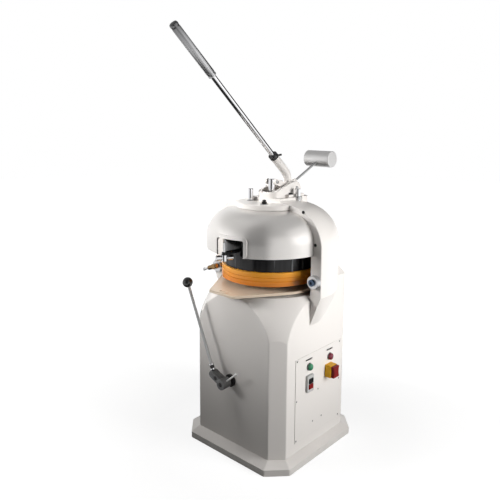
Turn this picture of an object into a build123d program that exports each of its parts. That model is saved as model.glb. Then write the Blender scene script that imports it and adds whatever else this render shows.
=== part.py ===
from build123d import *
import math
import os

# Dough divider rounder in millimetres. The origin is the centre of the plinth on the floor,
# +Z is up, -Y is the front and +X is the operator's right.

# Plinth
plinth_width = 652
plinth_depth = 646
plinth_corner = 84
plinth_round = 14
plinth_lip = 30
plinth_height = 52
plinth_floor = 8
plinth_rim = 40
plinth_step = 3
plinth_edge = 2

# Cabinet
cabinet_width = 572
cabinet_depth = 558
cabinet_corner = 59
cabinet_round = 10
cabinet_wall = 5
cabinet_top = 784
cabinet_roof = 10
roof_opening_radius = 205
shoulder_drop = 232
shoulder_radius = 340
shoulder_margin = 3

# Side cover and its controls, on the right face
cover_front = -160
cover_back = 195
cover_low = 103
cover_drop = 45
cover_thickness = 2.5
cover_overlap = 18
cover_corner = 8
screw_inset = 9
screw_head_radius = 4.5
screw_head_height = 2.2
screw_shank_radius = 2.5
screw_columns = 2
screw_rows = 3
inner_screws = [(13, 208), (-25, 59), (44, 59)]
lamp_radius = 14
lamp_length = 15
lamp_bezel_radius = 16.5
lamp_bezel_length = 4
lamp_shank_radius = 9
lamp_shank_length = 24
green_lamp_y = -62
red_lamp_y = 102
lamp_drop = 60
starter_y = -62
starter_drop = 139
starter_width = 47
starter_height = 82
starter_depth = 12
starter_rim = 5
button_width = 30
button_height = 23
button_length = 16
button_gap = 4
button_fit = 0.6
button_travel = 4
button_stop = 1
button_edge = 1.5
switch_y = 91
switch_drop = 123
switch_plate_width = 52
switch_plate_height = 60
switch_plate_depth = 34
switch_plate_edge = 2
switch_plate_round = 3
switch_knob_width = 48
switch_knob_height = 56
switch_knob_depth = 16
switch_knob_waist = 5
switch_knob_sweep = 60
switch_knob_round = 5
switch_knob_edge = 2
switch_stem_radius = 5

# Table, dough plate and the drive under them
press_offset = 22
throw = 12
table_gap = 2
table_radius = 232
table_thickness = 8
table_hub_radius = 42
table_hub_length = 48
plate_radius = 253
plate_thickness = 12
plate_tab_reach = 344
plate_tab_width = 156
plate_tab_round = 16
plate_edge = 3
grip_slot_length = 70
grip_slot_width = 12
grip_slot_inset = 26
locating_pin_radius = 6
locating_pin_height = 6
locating_pin_spacing = 240
locating_pin_back = 60
locating_fit = 0.3
bed_drop = 238
bed_thickness = 12
housing_height = 120
housing_radius = 44
housing_flange_radius = 78
housing_flange = 14
housing_rib = 12
idler_spacing = 280
idler_housing_radius = 24
idler_flange_radius = 43
idler_journal_radius = 12
idler_disc_radius = 27
idler_disc_thickness = 12
idler_pin_radius = 8
shaft_radius = 20
crank_disc_radius = 40
crank_disc_thickness = 18
crank_pin_radius = 15
crank_gap = 2
running_fit = 0.05
pulley_height = 26
pulley_drop = 60
main_pulley_radius = 95
motor_pulley_radius = 35
groove_depth = 7
belt_width = 12
belt_thickness = 6
belt_fit = 0.4
motor_x = -120
motor_offset = 126
motor_radius = 70
motor_length = 200
motor_shaft_radius = 9
motor_plate_thickness = 10
motor_plate_lift = 80
motor_plate_margin = 24

# Press head: ring, drum, pads and knives
ring_gap = 24
ring_height = 65
ring_wall = 12
ring_lip = 6
ring_groove = 1.6
drum_radius = 230
drum_wall = 6
drum_height = 195
drum_fit = 0.3
cell_rings = (5, 10, 15)
cell_gap = 4
inner_stem_share = 0.62
knife_thickness = 2
knife_height = 50
knife_plate_thickness = 8
knife_clear = 1
pad_inset = 8
pad_thickness = 14
pad_fit = 0.8
pad_stem_radius = 5
stem_fit = 0.8
carrier_gap = 14
carrier_thickness = 10
column_radius = 12.5
right_column = (95, 87)
left_column = (-75, -70)
column_top = 48
spindle_radius = 18
spindle_head_height = 30
spindle_pin_radius = 7
adjuster_angle = -4
adjuster_circle = 302
lug_width = 22
lug_thickness = 12
lug_rise = -3
post_radius = 6
post_above = 46
knob_hub_radius = 15
knob_hub_height = 28
knob_bar_radius = 10
knob_bar_length = 84
knob_lobe_radius = 13
knob_lobe_length = 26
knob_lobe_edge = 2.5
knob_bar_angle = 65

# Dome cover and crown plate
dome_radius = 300
dome_wall = 4
drum_show = 80
dome_skirt = 56
dome_shoulder = 130
dome_crown = 14
notch_centre = 28
notch_width = 152
notch_height = 78
notch_round = 10
bead_width = 15
bead_rise = 5
crown_plate_radius = 155
crown_plate_seat = 9
crown_plate_rise = 12
crown_plate_spigot = 8
crown_edge = 4

# Rear hood
hood_overhang = 35
hood_offset = 30
hood_flange = 10
hood_wall = 10
band_width = 44
band_seat = 16
band_edge = 4
hood_side = 222
hood_shoulder = 180
hood_crown = 15
collar_height = 56
collar_slope = 44
collar_taper = 42
corbel_drop = 140
boss_radius = 31
boss_length = 24
boss_inset = 32
boss_rise = 74
left_boss_rise = 42
boss_edge = 3
bolt_head_radius = 16
bolt_head_height = 9
bolt_socket_size = 14
bolt_socket_depth = 6
handle_hub_radius = 14
handle_hub_length = 26
handle_barrel_radius = 12
handle_barrel_start = -20
handle_barrel_end = 44
handle_bar_radius = 6
handle_bar_length = 82
handle_bar_angle = 200
handle_tip_radius = 8.5

# Press lever, its bracket and counterweight
pad_rise = 5
pad_depth = 40
pad_margin = 28
spindle_boss_radius = 44
spindle_boss_length = 48
spindle_bush_wall = 8
well_radius = 43
well_length = 27
well_depth = 28
bracket_width = 122
bracket_slot = 82
bracket_front_wall = 10
bracket_round = 38
bracket_rim = 26
bracket_edge = 3
bracket_head_radius = 34
bracket_foot_width = 162
bracket_foot_thickness = 12
bracket_foot_offset = 84
bracket_bolt_radius = 9
bracket_bolt_height = 8
bracket_shank_radius = 5
pivot_offset = 118
pivot_height = 36
pivot_radius = 12
fork_swing = 36
fork_gap = 21
fork_thickness = 12
fork_height = 28
fork_fit = 0.7
lever_hub_radius = 31
lever_hub_width = 72
neck_height = 65
neck_reach = 134
neck_radius = 21
neck_bend = 70
handle_angle = 41.5
socket_depth = 60
lever_rod_radius = 12.5
lever_length = 828
grip_radius = 19
grip_length = 288
grip_round = 6
collar_radius = 23
collar_length = 22
clamp_radius = 5
clamp_length = 21
clamp_angle = 16
counter_angle = 26
counter_reach = 304
counter_rod_radius = 6
counter_socket_radius = 15
counter_socket_length = 68
counter_socket_depth = 40
counter_radius = 43
counter_length = 160
counter_edge = 4

# Rounding lever on the front face
rounding_x = -7
rounding_drop = 189
rounding_shaft_radius = 11
rounding_shaft_inside = 90
bush_flange_radius = 30
bush_flange = 10
bush_radius = 18
bush_length = 40
rounding_hub_gap = 12
rounding_hub_radius = 25
rounding_hub_length = 50
rounding_arm_reach = 72
rounding_arm_angle = 157
rounding_arm_width = 34
rounding_lean = 24.3
sleeve_radius = 10.5
sleeve_length = 46
rounding_rod_radius = 7
rounding_rod_length = 438
ball_radius = 25
ball_socket_depth = 14

# Cable entry on the rear wall
gland_x = 180
gland_z = 120
gland_radius = 13
gland_length = 22
gland_bore = 6
gland_thread_radius = 9
gland_nut_length = 8
gland_cap_radius = 10.5

# Values worked out from the sizes above
half_width = cabinet_width / 2
half_depth = cabinet_depth / 2
cabinet_reach = shoulder_margin + max(
    math.hypot(half_width, half_depth - cabinet_corner),
    math.hypot(half_width - cabinet_corner, half_depth),
)
hood_radius = dome_radius + band_width
dome_y = half_depth + hood_overhang - hood_radius
hood_front = dome_y - hood_offset
press_y = dome_y + press_offset
pivot_y = press_y + pivot_offset
drive_y = press_y + throw
motor_y = drive_y + motor_offset
shoulder_start = cabinet_top - shoulder_drop
cover_high = shoulder_start - cover_drop
lamp_z = cover_high - lamp_drop
starter_z = cover_high - starter_drop
switch_z = cover_high - switch_drop
inner_places = [(y, cover_low + rise) for y, rise in inner_screws]
rounding_z = shoulder_start - rounding_drop
bed_height = cabinet_top - bed_drop
ring_radius = drum_radius + ring_wall
cell_radius = drum_radius - drum_wall - cell_gap
adjuster_reach = adjuster_circle - drum_radius
right_place = (right_column[0], press_y + right_column[1])
left_place = (left_column[0], press_y + left_column[1])
table_bottom = cabinet_top + table_gap
table_top = table_bottom + table_thickness
plate_top = table_top + plate_thickness
ring_bottom = plate_top + ring_gap
ring_top = ring_bottom + ring_height
dome_bottom = ring_top + drum_show
dome_side = dome_bottom + dome_skirt
hood_side_top = cabinet_top + hood_side
bed_top = bed_height + bed_thickness
housing_top = bed_top + housing_height
crank_bottom = housing_top + crank_gap
crank_top = crank_bottom + crank_disc_thickness
boss_x = hood_radius - boss_inset
boss_z = cabinet_top + boss_rise
left_boss_z = cabinet_top + left_boss_rise
boss_front = hood_front - boss_length
cover_face = half_width + cover_thickness
front_face = -half_depth


def crown_height(radius, side_top, shoulder, crown, reach=0):
    """Height of a bell's crown at a distance from its axis."""
    crown_start = radius - shoulder + shoulder * math.sin(math.radians(crown))
    crown_radius = crown_start / math.sin(math.radians(crown))
    centre = side_top + (shoulder - crown_radius) * math.cos(math.radians(crown))
    return centre + math.sqrt(crown_radius**2 - reach**2)


dome_top = crown_height(dome_radius, dome_side, dome_shoulder, dome_crown)
hood_top = crown_height(hood_radius, hood_side_top, hood_shoulder, hood_crown)
pad_top = hood_top + pad_rise
well_floor = pad_top - well_depth
pivot_z = pad_top + pivot_height
fork_reach = pivot_y - press_y
fork_half = math.radians(fork_swing / 2)
fork_travel = 2 * fork_reach * math.tan(fork_half)
pin_z = pivot_z + fork_travel / 2
knife_tip = plate_top + fork_travel + knife_clear
knife_root = knife_tip + knife_height
knife_plate_top = knife_root + knife_plate_thickness
carrier_bottom = knife_plate_top + carrier_gap
carrier_top = carrier_bottom + carrier_thickness
pad_bottom = ring_bottom + pad_inset
pad_back = pad_bottom + pad_thickness
drum_bottom = ring_bottom + ring_lip
lug_bottom = dome_bottom + lug_rise
post_bottom = lug_bottom - knob_hub_height
handle_along = Vector(0, -math.cos(math.radians(handle_angle)), math.sin(math.radians(handle_angle)))
neck_corner = Vector(0, pivot_y, pivot_z + neck_height)
socket_end = neck_corner + handle_along * neck_reach
counter_along = Vector(0, math.cos(math.radians(counter_angle)), math.sin(math.radians(counter_angle)))
counter_centre = Vector(0, pivot_y, pivot_z) + counter_along * counter_reach
crown_plate_bottom = crown_height(
    dome_radius, dome_side, dome_shoulder, dome_crown, crown_plate_radius - crown_plate_seat
)
crown_plate_top = dome_top + crown_plate_rise
adjuster_x = adjuster_circle * math.sin(math.radians(adjuster_angle))
adjuster_y = press_y - adjuster_circle * math.cos(math.radians(adjuster_angle))

press_axis = Axis((0, press_y, 0), (0, 0, 1))
dome_axis = Axis((0, dome_y, 0), (0, 0, 1))
dome_plane = Plane.XZ.offset(-dome_y)
press_plane = Plane.XZ.offset(-press_y)
hood_plane = Plane.XZ.offset(-hood_front)


def octagon(width, depth, corner, rounding=0):
    """Rectangle with cut corners, and its vertices rounded where asked."""
    x = width / 2
    y = depth / 2
    right = [(x, corner - y), (x, y - corner)]
    back = [(x - corner, y), (corner - x, y)]
    left = [(-x, y - corner), (-x, corner - y)]
    front = [(corner - x, -y), (x - corner, -y)]
    with BuildLine() as outline:
        Polyline(*right, *back, *left, *front, close=True)
    make_face(outline.edges())
    if rounding:
        fillet(vertices(), rounding)


def bell_outline(radius, base, side_top, shoulder, crown):
    """Half outline of a bell: straight skirt, round shoulder and shallow crown, closed on the axis."""
    crown_start = radius - shoulder + shoulder * math.sin(math.radians(crown))
    crown_radius = crown_start / math.sin(math.radians(crown))
    top = crown_height(radius, side_top, shoulder, crown)
    middle = crown_radius * math.sin(math.radians(crown / 2))
    with BuildLine() as outline:
        skirt = Line((radius, base), (radius, side_top))
        turn = JernArc(skirt @ 1, (0, 1), shoulder, 90 - crown)
        ThreePointArc(turn @ 1, (middle, crown_height(radius, side_top, shoulder, crown, middle)), (0, top))
        Polyline((0, top), (0, base), (radius, base))
    make_face(outline.edges())


def finish(piece, name):
    """Label a piece and write it to its own file."""
    piece.label = name
    export_step(piece, f"parts/{name}.step")


os.makedirs("parts", exist_ok=True)

# Plinth: an open tray with a lip and a sloped top that carries the cabinet
plinth_top_width = cabinet_width + 2 * plinth_step
plinth_top_depth = cabinet_depth + 2 * plinth_step
with BuildPart() as base_plinth:
    with BuildSketch():
        octagon(plinth_width, plinth_depth, plinth_corner, plinth_round)
    extrude(amount=plinth_lip)
    with BuildSketch(Plane.XY.offset(plinth_lip)):
        octagon(plinth_width, plinth_depth, plinth_corner, plinth_round)
    with BuildSketch(Plane.XY.offset(plinth_height)):
        octagon(plinth_top_width, plinth_top_depth, cabinet_corner, cabinet_round)
    loft()
    fillet(base_plinth.edges().group_by(Axis.Z)[-1], plinth_edge)
    with BuildSketch(Plane.XY.offset(plinth_floor)):
        octagon(cabinet_width - 2 * plinth_rim, cabinet_depth - 2 * plinth_rim, cabinet_corner)
    extrude(amount=plinth_height, mode=Mode.SUBTRACT)
finish(base_plinth.part, "base_plinth")


def shoulder_cutter(inset):
    """What lies outside the round shoulder, in front of the hood."""
    reach = cabinet_reach - inset
    radius = shoulder_radius - inset
    above = cabinet_top + cabinet_roof
    sweep_angle = math.degrees(math.asin((above - shoulder_start) / radius))
    with BuildPart() as cutter:
        with BuildSketch(Plane.XZ):
            with BuildLine():
                arc = JernArc((reach, shoulder_start), (0, 1), radius, sweep_angle)
                Polyline(arc @ 1, (2 * reach, above), (2 * reach, shoulder_start), (reach, shoulder_start))
            make_face()
        revolve(axis=Axis.Z)
        split(bisect_by=hood_plane, keep=Keep.TOP)
    return cutter.part


def cabinet_form(inset, top):
    """Solid cabinet drawn in by an inset: octagonal, with the round shoulder at the front."""
    corner = cabinet_corner - inset * (2 - math.sqrt(2))
    with BuildPart() as form:
        with BuildSketch(Plane.XY.offset(plinth_height)):
            octagon(cabinet_width - 2 * inset, cabinet_depth - 2 * inset, corner)
        extrude(amount=top - plinth_height)
        add(shoulder_cutter(inset), mode=Mode.SUBTRACT)
    return form.part


# Cabinet: a thin shell with a flat roof, open below, with an opening behind the side cover
cabinet_solid = cabinet_form(0, cabinet_top)
cabinet_hollow = cabinet_form(cabinet_wall, cabinet_top - cabinet_roof)
with BuildPart() as cabinet_shell:
    add(cabinet_solid)
    uprights = edges().filter_by(Axis.Z).filter_by_position(Axis.Z, plinth_height, shoulder_start)
    arches = edges().filter_by(GeomType.BSPLINE).filter_by_position(Axis.Y, front_face - 1, hood_front - 1)
    arches = arches.filter_by_position(Axis.Z, shoulder_start, cabinet_top - 1)
    fillet(uprights + arches, cabinet_round)
    add(cabinet_hollow, mode=Mode.SUBTRACT)
    with BuildSketch(Plane.XY.offset(cabinet_top)):
        with Locations((0, press_y)):
            Circle(roof_opening_radius)
    extrude(amount=-2 * cabinet_roof, mode=Mode.SUBTRACT)
    with BuildSketch(Plane.YZ.offset(half_width)):
        with Locations(((cover_front + cover_back) / 2, (cover_low + cover_high) / 2)):
            RectangleRounded(
                cover_back - cover_front - 2 * cover_overlap,
                cover_high - cover_low - 2 * cover_overlap,
                cover_corner,
            )
    extrude(amount=-2 * cabinet_wall, mode=Mode.SUBTRACT)
    with BuildSketch(Plane.XZ.offset(half_depth)):
        with Locations((rounding_x, rounding_z)):
            Circle(bush_radius)
    extrude(amount=-2 * cabinet_wall, mode=Mode.SUBTRACT)
    with BuildSketch(Plane.XZ.offset(-half_depth)):
        with Locations((gland_x, gland_z)):
            Circle(gland_thread_radius)
    extrude(amount=2 * cabinet_wall, mode=Mode.SUBTRACT)
finish(cabinet_shell.part, "cabinet_shell")

# Side cover: a sheet with holes for the controls
cover_mid_y = (cover_front + cover_back) / 2
cover_mid_z = (cover_low + cover_high) / 2
button_step = button_height + button_gap
button_places = [(starter_y, starter_z + button_step / 2), (starter_y, starter_z - button_step / 2)]
screw_span_y = cover_back - cover_front - 2 * screw_inset
screw_span_z = (cover_high - cover_low - 2 * screw_inset) / 2
with BuildPart() as side_cover:
    with BuildSketch(Plane.YZ.offset(half_width)):
        with Locations((cover_mid_y, cover_mid_z)):
            RectangleRounded(cover_back - cover_front, cover_high - cover_low, cover_corner)
        with Locations((green_lamp_y, lamp_z), (red_lamp_y, lamp_z)):
            Circle(lamp_shank_radius + running_fit, mode=Mode.SUBTRACT)
        with Locations(*button_places):
            Rectangle(button_width + 2 * button_fit, button_height + 2 * button_fit, mode=Mode.SUBTRACT)
        with Locations((switch_y, switch_z)):
            Circle(switch_stem_radius + running_fit, mode=Mode.SUBTRACT)
        with Locations((cover_mid_y, cover_mid_z)):
            with GridLocations(screw_span_y, screw_span_z, screw_columns, screw_rows):
                Circle(screw_shank_radius, mode=Mode.SUBTRACT)
        with Locations(*inner_places):
            Circle(screw_shank_radius, mode=Mode.SUBTRACT)
    extrude(amount=cover_thickness)
finish(side_cover.part, "side_cover")

# Cover screws: pan heads outside, short shanks in the sheet
with BuildPart() as cover_screws:
    with BuildSketch(Plane.YZ.offset(cover_face)):
        with Locations((cover_mid_y, cover_mid_z)):
            with GridLocations(screw_span_y, screw_span_z, screw_columns, screw_rows):
                Circle(screw_head_radius)
        with Locations(*inner_places):
            Circle(screw_head_radius)
    extrude(amount=screw_head_height)
    chamfer(cover_screws.faces().group_by(Axis.X)[-1].edges(), screw_head_height / 3)
    with BuildSketch(Plane.YZ.offset(half_width)):
        with Locations((cover_mid_y, cover_mid_z)):
            with GridLocations(screw_span_y, screw_span_z, screw_columns, screw_rows):
                Circle(screw_shank_radius)
        with Locations(*inner_places):
            Circle(screw_shank_radius)
    extrude(amount=cover_thickness)
finish(cover_screws.part, "cover_screws")


def pilot_lamp(y):
    """Lamp with a domed lens, a bezel on the cover and a shank through it."""
    with BuildPart() as lamp:
        with BuildSketch(Plane.YZ.offset(half_width - lamp_shank_length)):
            with Locations((y, lamp_z)):
                Circle(lamp_shank_radius)
        extrude(amount=lamp_shank_length + cover_thickness)
        with BuildSketch(Plane.YZ.offset(cover_face)):
            with Locations((y, lamp_z)):
                Circle(lamp_bezel_radius)
        extrude(amount=lamp_bezel_length)
        with BuildSketch(Plane.YZ.offset(cover_face + lamp_bezel_length)):
            with Locations((y, lamp_z)):
                Circle(lamp_radius)
        extrude(amount=lamp_length)
        fillet(lamp.faces().sort_by(Axis.X)[-1].edges(), lamp_length / 2)
    return lamp.part


finish(pilot_lamp(green_lamp_y), "green_lamp")
finish(pilot_lamp(red_lamp_y), "red_lamp")

# Starter: a rim round two push buttons
with BuildPart() as starter_housing:
    with BuildSketch(Plane.YZ.offset(cover_face)):
        with Locations((starter_y, starter_z)):
            RectangleRounded(starter_width, starter_height, starter_rim)
        with Locations(*button_places):
            Rectangle(button_width + 2 * button_fit, button_height + 2 * button_fit, mode=Mode.SUBTRACT)
    extrude(amount=starter_depth)
finish(starter_housing.part, "starter_housing")


def push_button(place):
    """Rectangular button that stands proud of the starter rim."""
    with BuildPart() as button:
        with BuildSketch(Plane.YZ.offset(cover_face + starter_depth + button_travel + button_stop)):
            with Locations(place):
                Rectangle(button_width, button_height)
        extrude(amount=-button_length)
        fillet(button.faces().sort_by(Axis.X)[-1].edges(), button_edge)
    return button.part


finish(push_button(button_places[0]), "start_button")
finish(push_button(button_places[1]), "stop_button")

# Main switch: a deep housing and a waisted knob on a stem
with BuildPart() as switch_plate:
    with BuildSketch(Plane.YZ.offset(cover_face)):
        with Locations((switch_y, switch_z)):
            RectangleRounded(switch_plate_width, switch_plate_height, switch_plate_round)
            Circle(switch_stem_radius + running_fit, mode=Mode.SUBTRACT)
    extrude(amount=switch_plate_depth)
    chamfer(switch_plate.faces().sort_by(Axis.X)[-1].outer_wire().edges(), switch_plate_edge)
finish(switch_plate.part, "switch_plate")

knob_face = cover_face + switch_plate_depth + button_fit
waist_reach = switch_knob_width / 2 + switch_knob_sweep - switch_knob_waist
with BuildPart() as switch_knob:
    with BuildSketch(Plane.YZ.offset(knob_face)):
        with Locations((switch_y, switch_z)):
            RectangleRounded(switch_knob_width, switch_knob_height, switch_knob_round)
            with Locations((waist_reach, 0), (-waist_reach, 0)):
                Circle(switch_knob_sweep, mode=Mode.SUBTRACT)
    extrude(amount=switch_knob_depth)
    fillet(switch_knob.faces().sort_by(Axis.X)[-1].edges(), switch_knob_edge)
    with BuildSketch(Plane.YZ.offset(half_width - lamp_shank_length)):
        with Locations((switch_y, switch_z)):
            Circle(switch_stem_radius)
    extrude(amount=knob_face - half_width + lamp_shank_length)
finish(switch_knob.part, "switch_knob")

# Cable gland on the rear wall
with BuildPart() as cable_gland:
    with BuildSketch(Plane.XZ.offset(-half_depth)):
        with Locations((gland_x, gland_z)):
            RegularPolygon(gland_radius, 6)
    extrude(amount=-gland_nut_length)
    with BuildSketch(Plane.XZ.offset(-half_depth)):
        with Locations((gland_x, gland_z)):
            Circle(gland_cap_radius)
    extrude(amount=-gland_length)
    with BuildSketch(Plane.XZ.offset(-half_depth)):
        with Locations((gland_x, gland_z)):
            Circle(gland_bore)
    extrude(amount=-gland_length, mode=Mode.SUBTRACT)
finish(cable_gland.part, "cable_gland")

# Rear hood: a round shell on the cabinet, open at the front inside a flat band
with BuildPart() as hood_cavity:
    with BuildSketch(dome_plane):
        bell_outline(
            hood_radius - hood_wall,
            cabinet_top - hood_wall,
            hood_side_top,
            hood_shoulder - hood_wall,
            hood_crown,
        )
    revolve(axis=dome_axis)
    split(bisect_by=hood_plane.offset(-hood_flange), keep=Keep.BOTTOM)

pad_back_y = pivot_y + bracket_head_radius + pad_margin
pad_mid_y = (hood_front + pad_back_y) / 2
pad_width = bracket_foot_width + pad_margin
with BuildPart() as rear_hood:
    with BuildSketch(dome_plane):
        bell_outline(hood_radius, cabinet_top, hood_side_top, hood_shoulder, hood_crown)
    revolve(axis=dome_axis)
    with BuildSketch(Plane.XY.offset(cabinet_top)):
        octagon(cabinet_width, cabinet_depth, cabinet_corner, cabinet_round)
    extrude(amount=collar_height)
    with BuildSketch(Plane.XY.offset(cabinet_top + collar_height)):
        octagon(cabinet_width, cabinet_depth, cabinet_corner, cabinet_round)
    extrude(amount=collar_slope, taper=collar_taper)
    split(bisect_by=hood_plane, keep=Keep.BOTTOM)
    add(hood_cavity.part, mode=Mode.SUBTRACT)
    with BuildSketch(dome_plane):
        bell_outline(
            dome_radius - band_seat,
            cabinet_top - hood_wall,
            dome_side,
            dome_shoulder - band_seat,
            dome_crown,
        )
    revolve(axis=dome_axis, mode=Mode.SUBTRACT)
    band_edges = edges().filter_by_position(Axis.Y, hood_front - band_edge, hood_front + band_edge / 8)
    curved = band_edges.filter_by(GeomType.LINE, reverse=True)
    sides = band_edges.filter_by(Axis.Z).filter_by(lambda edge: edge.length > boss_radius)
    fillet(curved + sides, band_edge)
    # Machined pad for the lever bracket, with the spindle boss under it
    with BuildSketch(Plane.XY.offset(pad_top)):
        with Locations((0, pad_mid_y)):
            Rectangle(pad_width, pad_back_y - hood_front)
        fillet(vertices().group_by(Axis.Y)[-1], pad_margin)
    extrude(amount=-pad_depth)
    with BuildSketch(Plane.XY.offset(well_floor)):
        with Locations((0, press_y)):
            Circle(spindle_boss_radius)
    extrude(amount=-spindle_boss_length)
    with BuildSketch(Plane.XY.offset(pad_top)):
        with Locations((0, press_y + well_length / 2)):
            SlotCenterToCenter(well_length, 2 * well_radius, rotation=90)
    extrude(amount=-well_depth, mode=Mode.SUBTRACT)
    with BuildSketch(Plane.XY.offset(well_floor)):
        with Locations((0, press_y)):
            Circle(spindle_radius + spindle_bush_wall)
    extrude(amount=-spindle_boss_length, mode=Mode.SUBTRACT)
    # Guide boss for the right column
    with BuildSketch(Plane.XY.offset(crown_plate_top)):
        with Locations(right_place):
            Circle(2 * column_radius)
    extrude(amount=-spindle_boss_length)
    with BuildSketch(Plane.XY.offset(crown_plate_top)):
        with Locations(right_place):
            Circle(column_radius + running_fit)
    extrude(amount=-2 * spindle_boss_length, both=True, mode=Mode.SUBTRACT)
finish(rear_hood.part, "rear_hood")


def corbel(clip):
    """Cone under the hood's overhang, kept only where the clip box holds it."""
    foot = math.hypot(half_width, hood_front - dome_y)
    low = cabinet_top - corbel_drop
    with BuildPart() as lug:
        with BuildSketch(dome_plane):
            with BuildLine():
                Polyline((0, low), (foot, low), (hood_radius, cabinet_top), (0, cabinet_top), close=True)
            make_face()
        revolve(axis=dome_axis)
        split(bisect_by=hood_plane, keep=Keep.BOTTOM)
        add(clip, mode=Mode.INTERSECT)
    return lug.part


def clip_box(x, y):
    """Large box whose nearest corner edge stands at x or y."""
    size = 2 * hood_radius
    with BuildPart() as box:
        with Locations((x, y, cabinet_top)):
            Box(size, size, 2 * size)
    return box.part


finish(corbel(clip_box(half_width + hood_radius, 0)), "right_corbel")
finish(corbel(clip_box(-half_width - hood_radius, 0)), "left_corbel")
finish(corbel(clip_box(0, half_depth + hood_radius)), "rear_corbel")

# Bosses on the band
with BuildPart() as side_bosses:
    with BuildSketch(hood_plane):
        with Locations((boss_x, boss_z), (-boss_x, left_boss_z)):
            Circle(boss_radius)
    extrude(amount=boss_length)
    fillet(side_bosses.faces().group_by(Axis.Y)[0].edges(), boss_edge)
finish(side_bosses.part, "side_bosses")

with BuildPart() as boss_bolt:
    with BuildSketch(hood_plane.offset(boss_length)):
        with Locations((boss_x, boss_z)):
            Circle(bolt_head_radius)
    extrude(amount=bolt_head_height)
    with BuildSketch(hood_plane.offset(boss_length + bolt_head_height)):
        with Locations((boss_x, boss_z)):
            RegularPolygon(bolt_socket_size / 2, 6, major_radius=False)
    extrude(amount=-bolt_socket_depth, mode=Mode.SUBTRACT)
finish(boss_bolt.part, "boss_bolt")

bar_along = Vector(math.cos(math.radians(handle_bar_angle)), 0, math.sin(math.radians(handle_bar_angle)))
handle_centre = Vector(-boss_x, boss_front - handle_hub_length / 2, left_boss_z)
with BuildPart() as clamp_handle:
    with BuildSketch(hood_plane.offset(boss_length)):
        with Locations((-boss_x, left_boss_z)):
            Circle(handle_hub_radius)
    extrude(amount=handle_hub_length)
    with BuildSketch(Plane(handle_centre, x_dir=bar_along, z_dir=(0, -1, 0))):
        Rectangle(handle_bar_length, handle_bar_radius, align=Align.MIN)
        with Locations((handle_barrel_start, 0)):
            Rectangle(handle_barrel_end - handle_barrel_start, handle_barrel_radius, align=Align.MIN)
        with Locations((handle_bar_length, 0)):
            Circle(handle_tip_radius)
        Rectangle(
            3 * handle_bar_length,
            handle_bar_length,
            align=(Align.CENTER, Align.MAX),
            mode=Mode.SUBTRACT,
        )
    revolve(axis=Axis(handle_centre, bar_along))
finish(clamp_handle.part, "clamp_handle")

# Dome cover: the front of a thin bell, with a notch, a raised bead round it and a hole for the crown plate
dome_front = dome_y - dome_radius


def dome_bell(rise):
    """Solid of the dome's bell, grown by a rise."""
    with BuildPart() as bell:
        with BuildSketch(dome_plane):
            bell_outline(dome_radius + rise, dome_bottom, dome_side, dome_shoulder + rise, dome_crown)
        revolve(axis=dome_axis)
    return bell.part


def window_block(margin):
    """Upright block through the dome's front at the window, grown by a margin."""
    with BuildPart() as block:
        with BuildSketch(Plane.XZ.offset(-dome_front - dome_radius / 3)):
            with Locations((notch_centre, dome_bottom - dome_wall)):
                Rectangle(
                    notch_width + 2 * margin,
                    notch_height + dome_wall + margin,
                    align=(Align.CENTER, Align.MIN),
                )
            fillet(vertices().group_by(Axis.Z)[-1], notch_round + margin)
        extrude(amount=dome_radius / 2)
    return block.part


with BuildPart() as dome_bead:
    add(window_block(bead_width))
    add(dome_bell(bead_rise), mode=Mode.INTERSECT)
    add(dome_bell(-dome_wall / 2), mode=Mode.SUBTRACT)

with BuildPart() as dome_cover:
    add(dome_bell(0))
    add(dome_bell(-dome_wall), mode=Mode.SUBTRACT)
    split(bisect_by=hood_plane, keep=Keep.TOP)
    with BuildSketch(Plane.XY.offset(dome_top)):
        with Locations((0, dome_y)):
            Circle(crown_plate_radius - crown_plate_seat)
    extrude(amount=-dome_shoulder / 2, both=True, mode=Mode.SUBTRACT)
    add(dome_bead.part)
    add(window_block(0), mode=Mode.SUBTRACT)
finish(dome_cover.part, "dome_cover")

# Crown plate on the dome, cut off at the hood, with the bore of the left column


def crown_disc(radius):
    """Plan of the crown plate at a radius, straight along the hood and bored for the column."""
    with Locations((0, dome_y)):
        Circle(radius)
    with Locations((0, hood_front)):
        Rectangle(4 * radius, 4 * radius, align=(Align.CENTER, Align.MIN), mode=Mode.SUBTRACT)
    with Locations(left_place):
        Circle(column_radius + running_fit, mode=Mode.SUBTRACT)


with BuildPart() as crown_plate:
    with BuildSketch(Plane.XY.offset(crown_plate_bottom)):
        crown_disc(crown_plate_radius)
    extrude(amount=crown_plate_top - crown_plate_bottom)
    rim = crown_plate.faces().sort_by(Axis.Z)[-1].outer_wire().edges().filter_by(GeomType.CIRCLE)
    chamfer(rim, crown_edge)
    with BuildSketch(Plane.XY.offset(crown_plate_bottom)):
        crown_disc(crown_plate_radius - crown_plate_seat - drum_fit)
    extrude(amount=-crown_plate_spigot)
finish(crown_plate.part, "crown_plate")

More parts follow.
